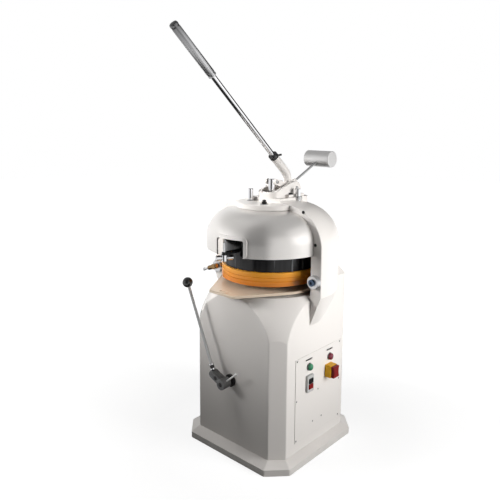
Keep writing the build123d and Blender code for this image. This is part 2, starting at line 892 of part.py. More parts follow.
# Lever bracket: two cheeks and a round front wall with a slanted open top, on a bolted foot
bracket_back = pivot_y + bracket_head_radius
bracket_foot_front = hood_front + bracket_foot_offset
foot_length = bracket_back - bracket_foot_front
bolt_step_y = foot_length / 2
bolt_mid_y = (bracket_foot_front + bracket_back) / 2
bolt_step_x = (bracket_foot_width + bracket_width) / 2
with BuildPart() as lever_bracket:
    with BuildSketch(Plane.YZ):
        with BuildLine():
            Polyline(
                (hood_front, pad_top),
                (hood_front, pad_top + bracket_rim),
                (pivot_y - bracket_head_radius, pivot_z + bracket_head_radius),
                (pivot_y, pivot_z + bracket_head_radius),
                (bracket_back, pivot_z),
                (bracket_back, pad_top),
                close=True,
            )
        make_face()
        with Locations((pivot_y, pivot_z)):
            Circle(bracket_head_radius)
    extrude(amount=bracket_width / 2, both=True)
    fillet(lever_bracket.edges().filter_by(Axis.Z).group_by(Axis.Y)[0], bracket_round)
    with BuildSketch(Plane.XY.offset(pad_top)):
        with Locations((0, hood_front + bracket_front_wall)):
            Rectangle(bracket_slot, 2 * bracket_back, align=(Align.CENTER, Align.MIN))
        fillet(vertices().group_by(Axis.Y)[0], bracket_round - bracket_front_wall)
    extrude(amount=pivot_height + 2 * bracket_head_radius, mode=Mode.SUBTRACT)
    upper = edges().filter_by_position(Axis.Z, pad_top + bracket_rim - 1, pivot_z + bracket_head_radius)
    across = upper.filter_by(Axis.X).filter_by_position(Axis.Y, hood_front / 2, bracket_back)
    fillet(upper - across - upper.filter_by(Axis.Z), bracket_edge)
    with BuildSketch(Plane.XY.offset(pad_top)):
        with Locations((0, bolt_mid_y)):
            Rectangle(bracket_foot_width, foot_length)
            Rectangle(bracket_slot, foot_length, mode=Mode.SUBTRACT)
            with GridLocations(bolt_step_x, bolt_step_y, 2, 2):
                Circle(bracket_shank_radius, mode=Mode.SUBTRACT)
    extrude(amount=bracket_foot_thickness)
    with BuildSketch(Plane.YZ):
        with Locations((pivot_y, pivot_z)):
            Circle(pivot_radius)
    extrude(amount=bracket_width, both=True, mode=Mode.SUBTRACT)
finish(lever_bracket.part, "lever_bracket")

with BuildPart() as bracket_bolts:
    with BuildSketch(Plane.XY.offset(pad_top + bracket_foot_thickness)):
        with Locations((0, bolt_mid_y)):
            with GridLocations(bolt_step_x, bolt_step_y, 2, 2):
                RegularPolygon(bracket_bolt_radius, 6)
    extrude(amount=bracket_bolt_height)
    with BuildSketch(Plane.XY.offset(pad_top)):
        with Locations((0, bolt_mid_y)):
            with GridLocations(bolt_step_x, bolt_step_y, 2, 2):
                Circle(bracket_shank_radius)
    extrude(amount=bracket_foot_thickness)
finish(bracket_bolts.part, "bracket_bolts")

with BuildPart() as pivot_pin:
    with BuildSketch(Plane.YZ):
        with Locations((pivot_y, pivot_z)):
            Circle(pivot_radius)
    extrude(amount=bracket_width / 2 + crown_edge, both=True)
    chamfer(pivot_pin.edges().filter_by(GeomType.CIRCLE), pivot_radius / 6)
finish(pivot_pin.part, "pivot_pin")

# Lever casting: hub, gooseneck, fork for the spindle pin and socket for the counterweight rod
pivot_point = Vector(0, pivot_y, pivot_z)
fork_plane = Plane(
    Vector(fork_gap, pivot_y, pivot_z),
    x_dir=(0, -math.cos(fork_half), math.sin(fork_half)),
    z_dir=(1, 0, 0),
)
fork_long = fork_reach / math.cos(fork_half)
slot_stroke = fork_long - fork_reach + 2 * fork_fit
slot_middle = (fork_long + fork_reach) / 2
arm_length = fork_long + 2 * fork_fit
with BuildPart() as lever_casting:
    with BuildSketch(Plane.XY.offset(pivot_z)):
        with Locations((0, pivot_y)):
            Circle(neck_radius)
    with BuildLine():
        FilletPolyline(pivot_point, neck_corner, socket_end, radius=neck_bend)
    sweep()
    with BuildSketch(fork_plane):
        with Locations((arm_length / 2, 0)):
            SlotCenterToCenter(arm_length, fork_height)
        with Locations((slot_middle, 0)):
            SlotCenterToCenter(slot_stroke, 2 * (spindle_pin_radius + fork_fit), mode=Mode.SUBTRACT)
    extrude(amount=fork_thickness)
    mirror(about=Plane.YZ)
    with BuildSketch(Plane.YZ):
        with Locations((pivot_y, pivot_z)):
            Circle(lever_hub_radius)
    extrude(amount=lever_hub_width / 2, both=True)
    with BuildSketch(Plane(pivot_point, z_dir=counter_along)):
        Circle(counter_socket_radius)
    extrude(amount=counter_socket_length)
    with BuildSketch(Plane(pivot_point + counter_along * counter_socket_length, z_dir=counter_along)):
        Circle(counter_rod_radius)
    extrude(amount=-counter_socket_depth + lever_hub_radius / 4, mode=Mode.SUBTRACT)
    with BuildSketch(Plane(socket_end, z_dir=handle_along)):
        Circle(lever_rod_radius)
    extrude(amount=-socket_depth, mode=Mode.SUBTRACT)
    with BuildSketch(Plane.YZ):
        with Locations((pivot_y, pivot_z)):
            Circle(pivot_radius + running_fit)
    extrude(amount=bracket_width, both=True, mode=Mode.SUBTRACT)
finish(lever_casting.part, "lever_casting")

with BuildPart() as lever_rod:
    with BuildSketch(Plane(socket_end - handle_along * socket_depth, z_dir=handle_along)):
        Circle(lever_rod_radius)
    extrude(amount=socket_depth + lever_length - 2 * grip_round)
finish(lever_rod.part, "lever_rod")

grip_start = socket_end + handle_along * (lever_length - grip_length)
with BuildPart() as lever_grip:
    with BuildSketch(Plane(grip_start, z_dir=handle_along)):
        Circle(grip_radius)
    extrude(amount=grip_length)
    fillet(lever_grip.edges().filter_by(GeomType.CIRCLE), grip_round)
    with BuildSketch(Plane(grip_start, z_dir=handle_along)):
        Circle(lever_rod_radius)
    extrude(amount=grip_length - 2 * grip_round, mode=Mode.SUBTRACT)
finish(lever_grip.part, "lever_grip")

clamp_turn = math.radians(clamp_angle)
clamp_square = handle_along.cross(Vector(1, 0, 0))
clamp_along = Vector(math.cos(clamp_turn), 0, 0) + clamp_square * math.sin(clamp_turn)
collar_middle = socket_end + handle_along * (collar_length / 2)
with BuildPart() as lever_collar:
    with BuildSketch(Plane(socket_end, z_dir=handle_along)):
        Circle(collar_radius)
    extrude(amount=collar_length)
    fillet(lever_collar.edges().filter_by(GeomType.CIRCLE), clamp_radius / 2)
    with BuildSketch(Plane(collar_middle, z_dir=clamp_along)):
        Circle(clamp_radius)
    extrude(amount=collar_radius + clamp_length)
    with BuildSketch(Plane(socket_end, z_dir=handle_along)):
        Circle(lever_rod_radius)
    extrude(amount=collar_length, mode=Mode.SUBTRACT)
finish(lever_collar.part, "lever_collar")

counter_rod_start = counter_socket_length - counter_socket_depth + lever_hub_radius / 4
with BuildPart() as counter_rod:
    with BuildSketch(Plane(pivot_point + counter_along * counter_rod_start, z_dir=counter_along)):
        Circle(counter_rod_radius)
    extrude(amount=counter_reach - counter_rod_start)
finish(counter_rod.part, "counter_rod")

with BuildPart() as counterweight:
    with BuildSketch(Plane.YZ):
        with Locations((counter_centre.Y, counter_centre.Z)):
            Circle(counter_radius)
    extrude(amount=counter_length / 2, both=True)
    fillet(counterweight.edges().filter_by(GeomType.CIRCLE), counter_edge)
    with BuildSketch(Plane(counter_centre, z_dir=counter_along)):
        Circle(counter_rod_radius)
    extrude(amount=-2 * counter_radius, mode=Mode.SUBTRACT)
finish(counterweight.part, "counterweight")

# Press spindle with its head between the fork arms, the cross pin and the guide bush
with BuildPart() as press_spindle:
    with BuildSketch(Plane.XY.offset(knife_plate_top)):
        with Locations((0, press_y)):
            Circle(spindle_radius)
    extrude(amount=pin_z + spindle_head_height / 2 - knife_plate_top)
    chamfer(press_spindle.faces().sort_by(Axis.Z)[-1].edges(), spindle_radius / 6)
    with BuildSketch(Plane.YZ):
        with Locations((press_y, pin_z)):
            Circle(spindle_pin_radius)
    extrude(amount=spindle_radius, both=True, mode=Mode.SUBTRACT)
finish(press_spindle.part, "press_spindle")

with BuildPart() as spindle_pin:
    with BuildSketch(Plane.YZ):
        with Locations((press_y, pin_z)):
            Circle(spindle_pin_radius)
    extrude(amount=fork_gap + fork_thickness + fork_fit, both=True)
finish(spindle_pin.part, "spindle_pin")

with BuildPart() as spindle_bush:
    with BuildSketch(Plane.XY.offset(well_floor)):
        with Locations((0, press_y)):
            Circle(spindle_radius + spindle_bush_wall)
            Circle(spindle_radius + running_fit, mode=Mode.SUBTRACT)
    extrude(amount=-spindle_boss_length)
finish(spindle_bush.part, "spindle_bush")

# Cells of equal area: each ring of cells ends where its share of the disc ends
cell_total = sum(cell_rings)
ring_ends = [cell_radius * math.sqrt(sum(cell_rings[: i + 1]) / cell_total) for i in range(len(cell_rings))]
ring_starts = [0] + ring_ends[:-1]


def blade_pattern(width, mode=Mode.ADD):
    """Plan of the knives at a given width: ring blades between the cell rings, radial blades in each."""
    for end in ring_ends[:-1]:
        with BuildSketch(mode=Mode.PRIVATE) as ring_blade:
            Circle(end + width / 2)
            Circle(end - width / 2, mode=Mode.SUBTRACT)
        add(ring_blade.sketch, mode=mode)
    for count, start, end in zip(cell_rings, ring_starts, ring_ends):
        with PolarLocations((start + end) / 2, count):
            Rectangle(end - start + width / 2, width, mode=mode)


def cell_centres(places):
    """Middle of each cell, halfway round and across it."""
    for count, start, end in zip(cell_rings, ring_starts, ring_ends):
        reach = (start + end) / 2 if start else end * inner_stem_share
        step = 2 * math.pi / count
        turns = [(i + 0.5) * step for i in range(count)]
        places += [(reach * math.cos(turn), reach * math.sin(turn)) for turn in turns]
    return places


stems = cell_centres([])
press_top_plane = Plane((0, press_y, 0))
with BuildPart() as knife_set:
    with BuildSketch(press_top_plane.offset(knife_tip)):
        blade_pattern(knife_thickness)
    extrude(amount=knife_height)
    with BuildSketch(press_top_plane.offset(knife_root)):
        Circle(cell_radius)
        with Locations(*stems):
            Circle(pad_stem_radius + stem_fit, mode=Mode.SUBTRACT)
    extrude(amount=knife_plate_thickness)
finish(knife_set.part, "knife_set")

with BuildPart() as press_pads:
    with BuildSketch(press_top_plane.offset(pad_bottom)):
        Circle(cell_radius - pad_fit)
        blade_pattern(knife_thickness + 2 * pad_fit, Mode.SUBTRACT)
    extrude(amount=pad_thickness)
    with BuildSketch(press_top_plane.offset(pad_back)):
        with Locations(*stems):
            Circle(pad_stem_radius)
    extrude(amount=carrier_bottom - pad_back)
finish(press_pads.part, "press_pads")

with BuildPart() as pad_carrier:
    with BuildSketch(press_top_plane.offset(carrier_bottom)):
        Circle(drum_radius - drum_wall - drum_fit)
        Circle(spindle_radius + 4 * stem_fit, mode=Mode.SUBTRACT)
    extrude(amount=carrier_thickness)
finish(pad_carrier.part, "pad_carrier")

# Drum with the lug that carries the weight adjuster
adjuster_turn = math.radians(adjuster_angle)
lug_plane = Plane((0, press_y, lug_bottom), x_dir=(math.sin(adjuster_turn), -math.cos(adjuster_turn), 0))
with BuildPart() as press_drum:
    with BuildSketch(press_top_plane.offset(drum_bottom)):
        Circle(drum_radius)
        Circle(drum_radius - drum_wall, mode=Mode.SUBTRACT)
    extrude(amount=drum_height)
    with BuildSketch(lug_plane):
        with Locations((drum_radius + adjuster_reach / 2 - drum_wall / 4, 0)):
            Rectangle(adjuster_reach + drum_wall / 2, lug_width)
        with Locations((adjuster_circle, 0)):
            Circle(lug_width / 2)
            Circle(post_radius, mode=Mode.SUBTRACT)
    extrude(amount=lug_thickness)
finish(press_drum.part, "press_drum")

with BuildPart() as adjuster_post:
    with BuildSketch(Plane.XY.offset(post_bottom)):
        with Locations((adjuster_x, adjuster_y)):
            Circle(post_radius)
    extrude(amount=knob_hub_height + lug_thickness + post_above)
    chamfer(adjuster_post.edges().filter_by(GeomType.CIRCLE), post_radius / 6)
finish(adjuster_post.part, "adjuster_post")

bar_z = lug_bottom - drum_fit - knob_hub_height / 2
bar_way = (math.cos(math.radians(knob_bar_angle)), math.sin(math.radians(knob_bar_angle)), 0)
knob_middle = Vector(adjuster_x, adjuster_y, bar_z)
lobe_place = (knob_bar_length - knob_lobe_length) / 2
with BuildPart() as adjuster_knob:
    with BuildSketch(Plane.XY.offset(lug_bottom - drum_fit)):
        with Locations((adjuster_x, adjuster_y)):
            Circle(knob_hub_radius)
    extrude(amount=-knob_hub_height)
    with BuildSketch(Plane(knob_middle, x_dir=bar_way)):
        Rectangle(knob_bar_length, knob_bar_radius, align=(Align.CENTER, Align.MIN))
        with Locations((lobe_place, 0), (-lobe_place, 0)):
            Rectangle(knob_lobe_length, knob_lobe_radius, align=(Align.CENTER, Align.MIN))
        fillet(vertices().group_by(Axis.Y)[-1], knob_lobe_edge)
    revolve(axis=Axis(knob_middle, bar_way))
    with BuildSketch(Plane.XY.offset(lug_bottom)):
        with Locations((adjuster_x, adjuster_y)):
            Circle(post_radius + running_fit)
    extrude(amount=-2 * knob_hub_height, mode=Mode.SUBTRACT)
finish(adjuster_knob.part, "adjuster_knob")

# Press ring: a banded ring whose lip carries the drum
band_height = (ring_height - 2 * ring_lip) / 3
with BuildPart() as press_ring:
    with BuildSketch(press_plane):
        with Locations((drum_radius + drum_fit, ring_bottom)):
            Rectangle(ring_radius - drum_radius - drum_fit, ring_height, align=Align.MIN)
        with Locations((drum_radius - drum_wall, ring_bottom)):
            Rectangle(ring_radius - drum_radius + drum_wall, ring_lip, align=Align.MIN)
        with Locations(
            (ring_radius, ring_bottom + ring_lip + band_height),
            (ring_radius, ring_top - ring_lip - band_height),
        ):
            Rectangle(2 * ring_groove, 2 * ring_groove, rotation=45, mode=Mode.SUBTRACT)
        outer = vertices().group_by(Axis.X)[-1].sort_by(Axis.Z)
        fillet([outer[0], outer[-1]], ring_lip / 2)
    revolve(axis=press_axis)
finish(press_ring.part, "press_ring")

column_tip = crown_plate_top + column_top + crown_plate_rise
with BuildPart() as guide_columns:
    with BuildSketch(Plane.XY.offset(carrier_top)):
        with Locations(right_place, left_place):
            Circle(column_radius)
    extrude(amount=column_tip - carrier_top)
    chamfer(guide_columns.faces().group_by(Axis.Z)[-1].edges(), column_radius / 5)
finish(guide_columns.part, "guide_columns")

# Dough plate: a disc with tangent sides running to a straight front tab, slotted underneath for the pins
tab_half = plate_tab_width / 2
tab_depth = -plate_tab_reach
tab_reach = math.hypot(tab_half, tab_depth)
tangent_turn = math.acos(plate_radius / tab_reach) + math.atan2(tab_depth, tab_half)
tangent_x = plate_radius * math.cos(tangent_turn)
tangent_y = plate_radius * math.sin(tangent_turn)
slot_back = plate_radius - locating_pin_back
pin_places = [(-locating_pin_spacing / 2, locating_pin_back), (locating_pin_spacing / 2, locating_pin_back)]
with BuildPart() as dough_plate:
    with BuildSketch(press_top_plane.offset(table_top)):
        Circle(plate_radius)
        with BuildLine():
            Polyline(
                (tangent_x, tangent_y),
                (tab_half, tab_depth),
                (-tab_half, tab_depth),
                (-tangent_x, tangent_y),
                close=True,
            )
        make_face()
        fillet(vertices().group_by(Axis.Y)[0], plate_tab_round)
    extrude(amount=plate_thickness)
    fillet(dough_plate.faces().sort_by(Axis.Z)[-1].edges(), plate_edge)
    with BuildSketch(press_top_plane.offset(plate_top)):
        with Locations((0, tab_depth + grip_slot_inset)):
            SlotOverall(grip_slot_length, grip_slot_width)
    extrude(amount=-plate_thickness, mode=Mode.SUBTRACT)
    with BuildSketch(press_top_plane.offset(table_top)):
        with Locations(*pin_places):
            Circle(locating_pin_radius + locating_fit)
            Rectangle(
                2 * (locating_pin_radius + locating_fit), slot_back, align=(Align.CENTER, Align.MIN)
            )
    extrude(amount=locating_pin_height + locating_fit, mode=Mode.SUBTRACT)
finish(dough_plate.part, "dough_plate")

# Orbiting table with a hub for the crank pin and bosses for the idler pins
idler_places = [(-idler_spacing / 2, 0), (idler_spacing / 2, 0)]
with BuildPart() as orbit_table:
    with BuildSketch(press_top_plane.offset(table_bottom)):
        Circle(table_radius)
    extrude(amount=table_thickness)
    with BuildSketch(press_top_plane.offset(table_bottom)):
        Circle(table_hub_radius)
        with Locations(*idler_places):
            Circle(idler_disc_radius)
    extrude(amount=-table_hub_length)
    with BuildSketch(press_top_plane.offset(table_bottom)):
        Circle(crank_pin_radius + running_fit)
        with Locations(*idler_places):
            Circle(idler_pin_radius + running_fit)
    extrude(amount=-table_hub_length, mode=Mode.SUBTRACT)
finish(orbit_table.part, "orbit_table")

with BuildPart() as locating_pins:
    with BuildSketch(press_top_plane.offset(table_top)):
        with Locations(*pin_places):
            Circle(locating_pin_radius)
    extrude(amount=locating_pin_height)
finish(locating_pins.part, "locating_pins")

# Drive: bed plate, housing with three bearings, crank and idlers
drive_plane = Plane((0, drive_y, 0))
bed_corner = cabinet_corner - cabinet_wall * (2 - math.sqrt(2))
bed_width = cabinet_width - 2 * cabinet_wall
bed_depth = cabinet_depth - 2 * cabinet_wall
with BuildPart() as bed_plate:
    with BuildSketch(Plane.XY.offset(bed_height)):
        octagon(bed_width, bed_depth, bed_corner, cabinet_round - cabinet_wall)
        with Locations((0, drive_y)):
            Circle(housing_radius, mode=Mode.SUBTRACT)
    extrude(amount=bed_thickness)
finish(bed_plate.part, "bed_plate")

with BuildPart() as bearing_housing:
    with BuildSketch(drive_plane.offset(bed_top)):
        Circle(housing_flange_radius)
        with Locations(*idler_places):
            Circle(idler_flange_radius)
        Rectangle(idler_spacing, 2 * idler_housing_radius)
    extrude(amount=housing_flange)
    with BuildSketch(drive_plane.offset(bed_top)):
        Circle(housing_radius)
        with Locations(*idler_places):
            Circle(idler_housing_radius)
        Rectangle(idler_spacing, housing_rib)
    extrude(amount=housing_height)
    with BuildSketch(drive_plane.offset(bed_top)):
        Circle(shaft_radius + running_fit)
        with Locations(*idler_places):
            Circle(idler_journal_radius + running_fit)
    extrude(amount=housing_height, mode=Mode.SUBTRACT)
finish(bearing_housing.part, "bearing_housing")

pulley_top = bed_height - pulley_drop + pulley_height
pulley_bottom = bed_height - pulley_drop
pulley_middle = pulley_bottom + pulley_height / 2
pin_offset = (0, -throw)
with BuildPart() as crank_shaft:
    with BuildSketch(drive_plane.offset(pulley_bottom)):
        Circle(shaft_radius)
    extrude(amount=crank_bottom - pulley_bottom)
    with BuildSketch(drive_plane.offset(crank_bottom)):
        Circle(crank_disc_radius)
    extrude(amount=crank_disc_thickness)
    with BuildSketch(drive_plane.offset(crank_top)):
        with Locations(pin_offset):
            Circle(crank_pin_radius)
    extrude(amount=table_bottom - crank_top - crank_gap)
finish(crank_shaft.part, "crank_shaft")


def idler_crank(place):
    """Small crank with the same throw as the main one, so the table orbits without turning."""
    with BuildPart() as idler:
        with BuildSketch(drive_plane.offset(bed_top + housing_flange)):
            with Locations(place):
                Circle(idler_journal_radius)
        extrude(amount=crank_bottom - bed_top - housing_flange)
        with BuildSketch(drive_plane.offset(crank_bottom)):
            with Locations(place):
                Circle(idler_disc_radius)
        extrude(amount=idler_disc_thickness)
        with BuildSketch(drive_plane.offset(crank_bottom + idler_disc_thickness)):
            with Locations((place[0], place[1] - throw)):
                Circle(idler_pin_radius)
        extrude(amount=table_bottom - crank_gap - crank_bottom - idler_disc_thickness)
    return idler.part


finish(idler_crank(idler_places[0]), "left_idler")
finish(idler_crank(idler_places[1]), "right_idler")


def grooved_pulley(centre, radius, bore):
    """Pulley with one belt groove, on a vertical axis."""
    with BuildPart() as pulley:
        with BuildSketch(Plane.XZ.offset(-centre[1])):
            with Locations((centre[0] + bore, pulley_bottom)):
                Rectangle(radius - bore, pulley_height, align=Align.MIN)
            with Locations((centre[0] + radius, pulley_middle)):
                Rectangle(2 * groove_depth, belt_width + 2 * belt_fit, mode=Mode.SUBTRACT)
        revolve(axis=Axis((centre[0], centre[1], 0), (0, 0, 1)))
    return pulley.part


main_centre = (0, drive_y)
motor_centre = (motor_x, motor_y)
finish(grooved_pulley(main_centre, main_pulley_radius, shaft_radius), "main_pulley")
finish(grooved_pulley(motor_centre, motor_pulley_radius, motor_shaft_radius), "motor_pulley")


def belt_loop(thickness):
    """Plan of a belt round both pulleys, at a height above the groove floors."""
    with BuildSketch(mode=Mode.PRIVATE) as loop:
        with Locations(main_centre):
            Circle(main_pulley_radius - groove_depth + belt_fit + thickness)
        with Locations(motor_centre):
            Circle(motor_pulley_radius - groove_depth + belt_fit + thickness)
        make_hull(loop.edges())
    return loop.sketch


with BuildPart() as drive_belt:
    with BuildSketch(Plane.XY.offset(pulley_middle - belt_width / 2)):
        add(belt_loop(belt_thickness))
        add(belt_loop(0), mode=Mode.SUBTRACT)
    extrude(amount=belt_width)
finish(drive_belt.part, "drive_belt")

# Motor under its bracket on the rear wall, shaft upwards
motor_plate_top = pulley_bottom - motor_plate_margin
motor_plate_bottom = motor_plate_top - motor_plate_thickness
rear_inside = half_depth - cabinet_wall
plate_front = motor_y - motor_radius - motor_plate_margin
plate_span = 2 * (motor_radius + motor_plate_margin)
with BuildPart() as motor_bracket:
    with BuildSketch(Plane.XY.offset(motor_plate_bottom)):
        with Locations((motor_x, rear_inside)):
            Rectangle(plate_span, rear_inside - plate_front, align=(Align.CENTER, Align.MAX))
        with Locations(motor_centre):
            Circle(motor_shaft_radius + motor_plate_thickness, mode=Mode.SUBTRACT)
    extrude(amount=motor_plate_thickness)
    with BuildSketch(Plane.XY.offset(motor_plate_bottom)):
        with Locations((motor_x, rear_inside)):
            Rectangle(plate_span, motor_plate_thickness, align=(Align.CENTER, Align.MAX))
    extrude(amount=motor_plate_lift)
finish(motor_bracket.part, "motor_bracket")

with BuildPart() as motor:
    with BuildSketch(Plane.XY.offset(motor_plate_bottom)):
        with Locations(motor_centre):
            Circle(motor_radius)
    extrude(amount=-motor_length)
    fillet(motor.faces().sort_by(Axis.Z)[0].edges(), motor_plate_thickness)
finish(motor.part, "motor")

with BuildPart() as motor_shaft:
    with BuildSketch(Plane.XY.offset(motor_plate_bottom)):
        with Locations(motor_centre):
            Circle(motor_shaft_radius)
    extrude(amount=pulley_top - motor_plate_bottom)
finish(motor_shaft.part, "motor_shaft")

# Rounding lever: a bush in the front wall, a shaft, a hub with an arm, a rod and a ball
hub_back = front_face - bush_flange - rounding_hub_gap
hub_front = hub_back - rounding_hub_length
rounding_plane = Plane((rounding_x, 0, rounding_z), x_dir=(1, 0, 0), z_dir=(0, -1, 0))
arm_turn = math.radians(rounding_arm_angle)
arm_end = (rounding_arm_reach * math.cos(arm_turn), rounding_arm_reach * math.sin(arm_turn))
lean = math.radians(rounding_lean)
rod_along = Vector(-math.sin(lean), 0, math.cos(lean))
rod_y = (hub_back + hub_front) / 2
sleeve_start = Vector(rounding_x + arm_end[0], rod_y, rounding_z + arm_end[1])
with BuildPart() as rounding_bush:
    with BuildSketch(rounding_plane.offset(half_depth)):
        Circle(bush_flange_radius)
    extrude(amount=bush_flange)
    with BuildSketch(rounding_plane.offset(half_depth)):
        Circle(bush_radius)
    extrude(amount=-bush_length)
    with BuildSketch(rounding_plane.offset(half_depth + bush_flange)):
        Circle(rounding_shaft_radius + running_fit)
    extrude(amount=-bush_flange - bush_length, mode=Mode.SUBTRACT)
finish(rounding_bush.part, "rounding_bush")

with BuildPart() as rounding_shaft:
    with BuildSketch(rounding_plane.offset(-hub_front)):
        Circle(rounding_shaft_radius)
    extrude(amount=hub_front - front_face - rounding_shaft_inside)
    chamfer(rounding_shaft.edges().filter_by(GeomType.CIRCLE), rounding_shaft_radius / 8)
finish(rounding_shaft.part, "rounding_shaft")

with BuildPart() as rounding_hub:
    with BuildSketch(rounding_plane.offset(-hub_back)):
        Circle(rounding_hub_radius)
    extrude(amount=rounding_hub_length)
    fillet(rounding_hub.edges().filter_by(GeomType.CIRCLE), rounding_hub_radius / 8)
    with BuildSketch(rounding_plane.offset(-rod_y - rounding_arm_width / 2)):
        with Locations((arm_end[0] / 2, arm_end[1] / 2)):
            SlotCenterToCenter(rounding_arm_reach, rounding_arm_width, rotation=rounding_arm_angle)
    extrude(amount=rounding_arm_width)
    with BuildSketch(rounding_plane.offset(-hub_back)):
        Circle(rounding_shaft_radius)
    extrude(amount=rounding_hub_length, mode=Mode.SUBTRACT)
    with BuildSketch(Plane(sleeve_start, z_dir=rod_along)):
        Circle(sleeve_radius)
    extrude(amount=sleeve_length, mode=Mode.SUBTRACT)
finish(rounding_hub.part, "rounding_hub")

rod_top = sleeve_start + rod_along * rounding_rod_length
with BuildPart() as rounding_rod:
    with BuildSketch(Plane(sleeve_start, z_dir=rod_along)):
        Circle(sleeve_radius)
    extrude(amount=sleeve_length)
    with BuildSketch(Plane(sleeve_start, z_dir=rod_along)):
        Circle(rounding_rod_radius)
    extrude(amount=rounding_rod_length)
finish(rounding_rod.part, "rounding_rod")

ball_centre = rod_top + rod_along * (math.sqrt(ball_radius**2 - rounding_rod_radius**2) - ball_socket_depth)
bore_end = (rod_top - ball_centre).dot(rod_along)
with BuildPart() as rounding_ball:
    with BuildSketch(Plane(ball_centre, x_dir=rod_along, z_dir=(0, -1, 0))):
        Circle(ball_radius)
        Rectangle(2 * ball_radius, ball_radius, align=(Align.CENTER, Align.MAX), mode=Mode.SUBTRACT)
        with Locations((bore_end, 0)):
            Rectangle(
                ball_radius,
                rounding_rod_radius + running_fit,
                align=(Align.MAX, Align.MIN),
                mode=Mode.SUBTRACT,
            )
    revolve(axis=Axis(ball_centre, rod_along))
finish(rounding_ball.part, "rounding_ball")
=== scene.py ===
import math

import bpy
from bpy.props import FloatProperty, FloatVectorProperty, IntProperty, PointerProperty
from bpy.types import NodeSocket, Operator, Panel, PropertyGroup
from mathutils import Matrix, Vector


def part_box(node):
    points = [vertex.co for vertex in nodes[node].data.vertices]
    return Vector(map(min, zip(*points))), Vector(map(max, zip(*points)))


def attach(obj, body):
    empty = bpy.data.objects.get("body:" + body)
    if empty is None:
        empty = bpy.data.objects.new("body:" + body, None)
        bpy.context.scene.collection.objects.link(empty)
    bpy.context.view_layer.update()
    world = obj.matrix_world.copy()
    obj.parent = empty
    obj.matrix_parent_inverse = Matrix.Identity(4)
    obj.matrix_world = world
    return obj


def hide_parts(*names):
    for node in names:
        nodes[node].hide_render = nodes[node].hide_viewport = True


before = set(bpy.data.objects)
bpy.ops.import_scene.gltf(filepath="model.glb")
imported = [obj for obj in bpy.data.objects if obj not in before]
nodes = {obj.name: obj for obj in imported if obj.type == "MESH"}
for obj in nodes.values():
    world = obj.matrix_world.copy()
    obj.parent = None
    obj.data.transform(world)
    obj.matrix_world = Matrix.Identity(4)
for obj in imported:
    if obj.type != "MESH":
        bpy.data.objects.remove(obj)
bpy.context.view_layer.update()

bl_info = {
    "name": "Dough divider rounder",
    "version": (1, 0, 0),
    "blender": (4, 5, 0),
    "location": "View3D > Sidebar > Divider",
    "description": "Finishes and small fittings of a lever-operated dough divider and rounder",
    "category": "Object",
}

# Directions
ORIGIN = (0, 0, 0)
RIGHT = (1, 0, 0)
FRONT = (0, -1, 0)
NO_TURN = (0, 0, 0)
LEVER_LEAN = math.radians(41.5)
LEVER_ALONG = Vector((0, -math.cos(LEVER_LEAN), math.sin(LEVER_LEAN)))
ROD_TURN = (math.pi / 2 - LEVER_LEAN, 0.0, 0.0)
ROUNDING_LEAN = math.radians(-24.3)
ROUNDING_TURN = (0.0, ROUNDING_LEAN, 0.0)
ROUNDING_UP = Vector((math.sin(ROUNDING_LEAN), 0.0, math.cos(ROUNDING_LEAN)))
PIN_LEAN = math.radians(41.0)
PIN_ALONG = Vector((math.cos(PIN_LEAN), 0.0, math.sin(PIN_LEAN)))
CLAMP_LEAN = math.radians(200)
CLAMP_ALONG = (math.cos(CLAMP_LEAN), 0.0, math.sin(CLAMP_LEAN))
STOP_SPIN = math.radians(12)
CAMERA_BEARING = 40.83  # degrees

# Places and lengths in metres that no CAD box gives
CLAMP_CENTRE = (-0.312, -0.097, 0.826)
BARREL_START = (-0.0205, -0.0195)  # along the clamp, where bright metal turns to bronze
BARREL_END = (0.0435, 0.0445)
SLEEVE_END = (0.0485, 0.0495)  # along the rounding rod, where black turns to grey
GRIME_TOP = 0.16
REFLECTION_FADE_START, REFLECTION_FADE_END = 0.05, 0.01  # in from the grip's two ends, where its painted reflection gradient begins and ends
INNER_SCREWS = [(0.013, 0.311), (-0.025, 0.162), (0.044, 0.162)]
SHADE_RIM_CLEARANCE = 0.0001
COLUMN_RADIUS = 0.0125
SEAL_SINK = 0.012
STOP_PLACE = (0.060, -0.130)
STOP_EDGE = 0.0009
STRIP_THICKNESS, STRIP_RIM, STRIP_CROWN, STRIP_EDGE = 0.0008, 0.0006, 0.0003, 0.0002
COLLARS = (("lower_collar", 0.019, 0.0135), ("upper_collar", 0.041, 0.0125))  # reach, radius
BOLT_EDGE = 0.0005
ARM_HALF = 0.017
SOCKET_END = (0.0, 0.00964, 1.40238)
RING_DROPS = (0.008, 0.020, 0.032)
HOOD_FRONT = -0.060
PLUG_PLACES = ((0.308, 1.026), (-0.308, 1.026), (0.236, 1.168))
FLUTE_SIDES, FLUTE_SLACK = 4, 0.0005
FLOOR_RADIUS, FLOOR_RIM = 14.0, 3.0
CARPET_RIM, CARPET_LIFT = 0.2, 0.002

# Shares
LAMP_SPREAD = 1.12  # of a CAD lamp's radius
RECESS_LENGTH, RECESS_WIDTH = 1.05, 0.24  # of a screw's radius
SHADE_RIM_LAP = 2.2  # of the margin of the rim that paints the cover's shaded edge
SHADE_RIM_EDGE = 0.3  # of the height of that rim
SEAL_BORE, COLLAR_BORE = 1.02, 1.01  # of the radius of what goes through
ARM_SCREW = 0.62  # of the way down the rounding lever's arm

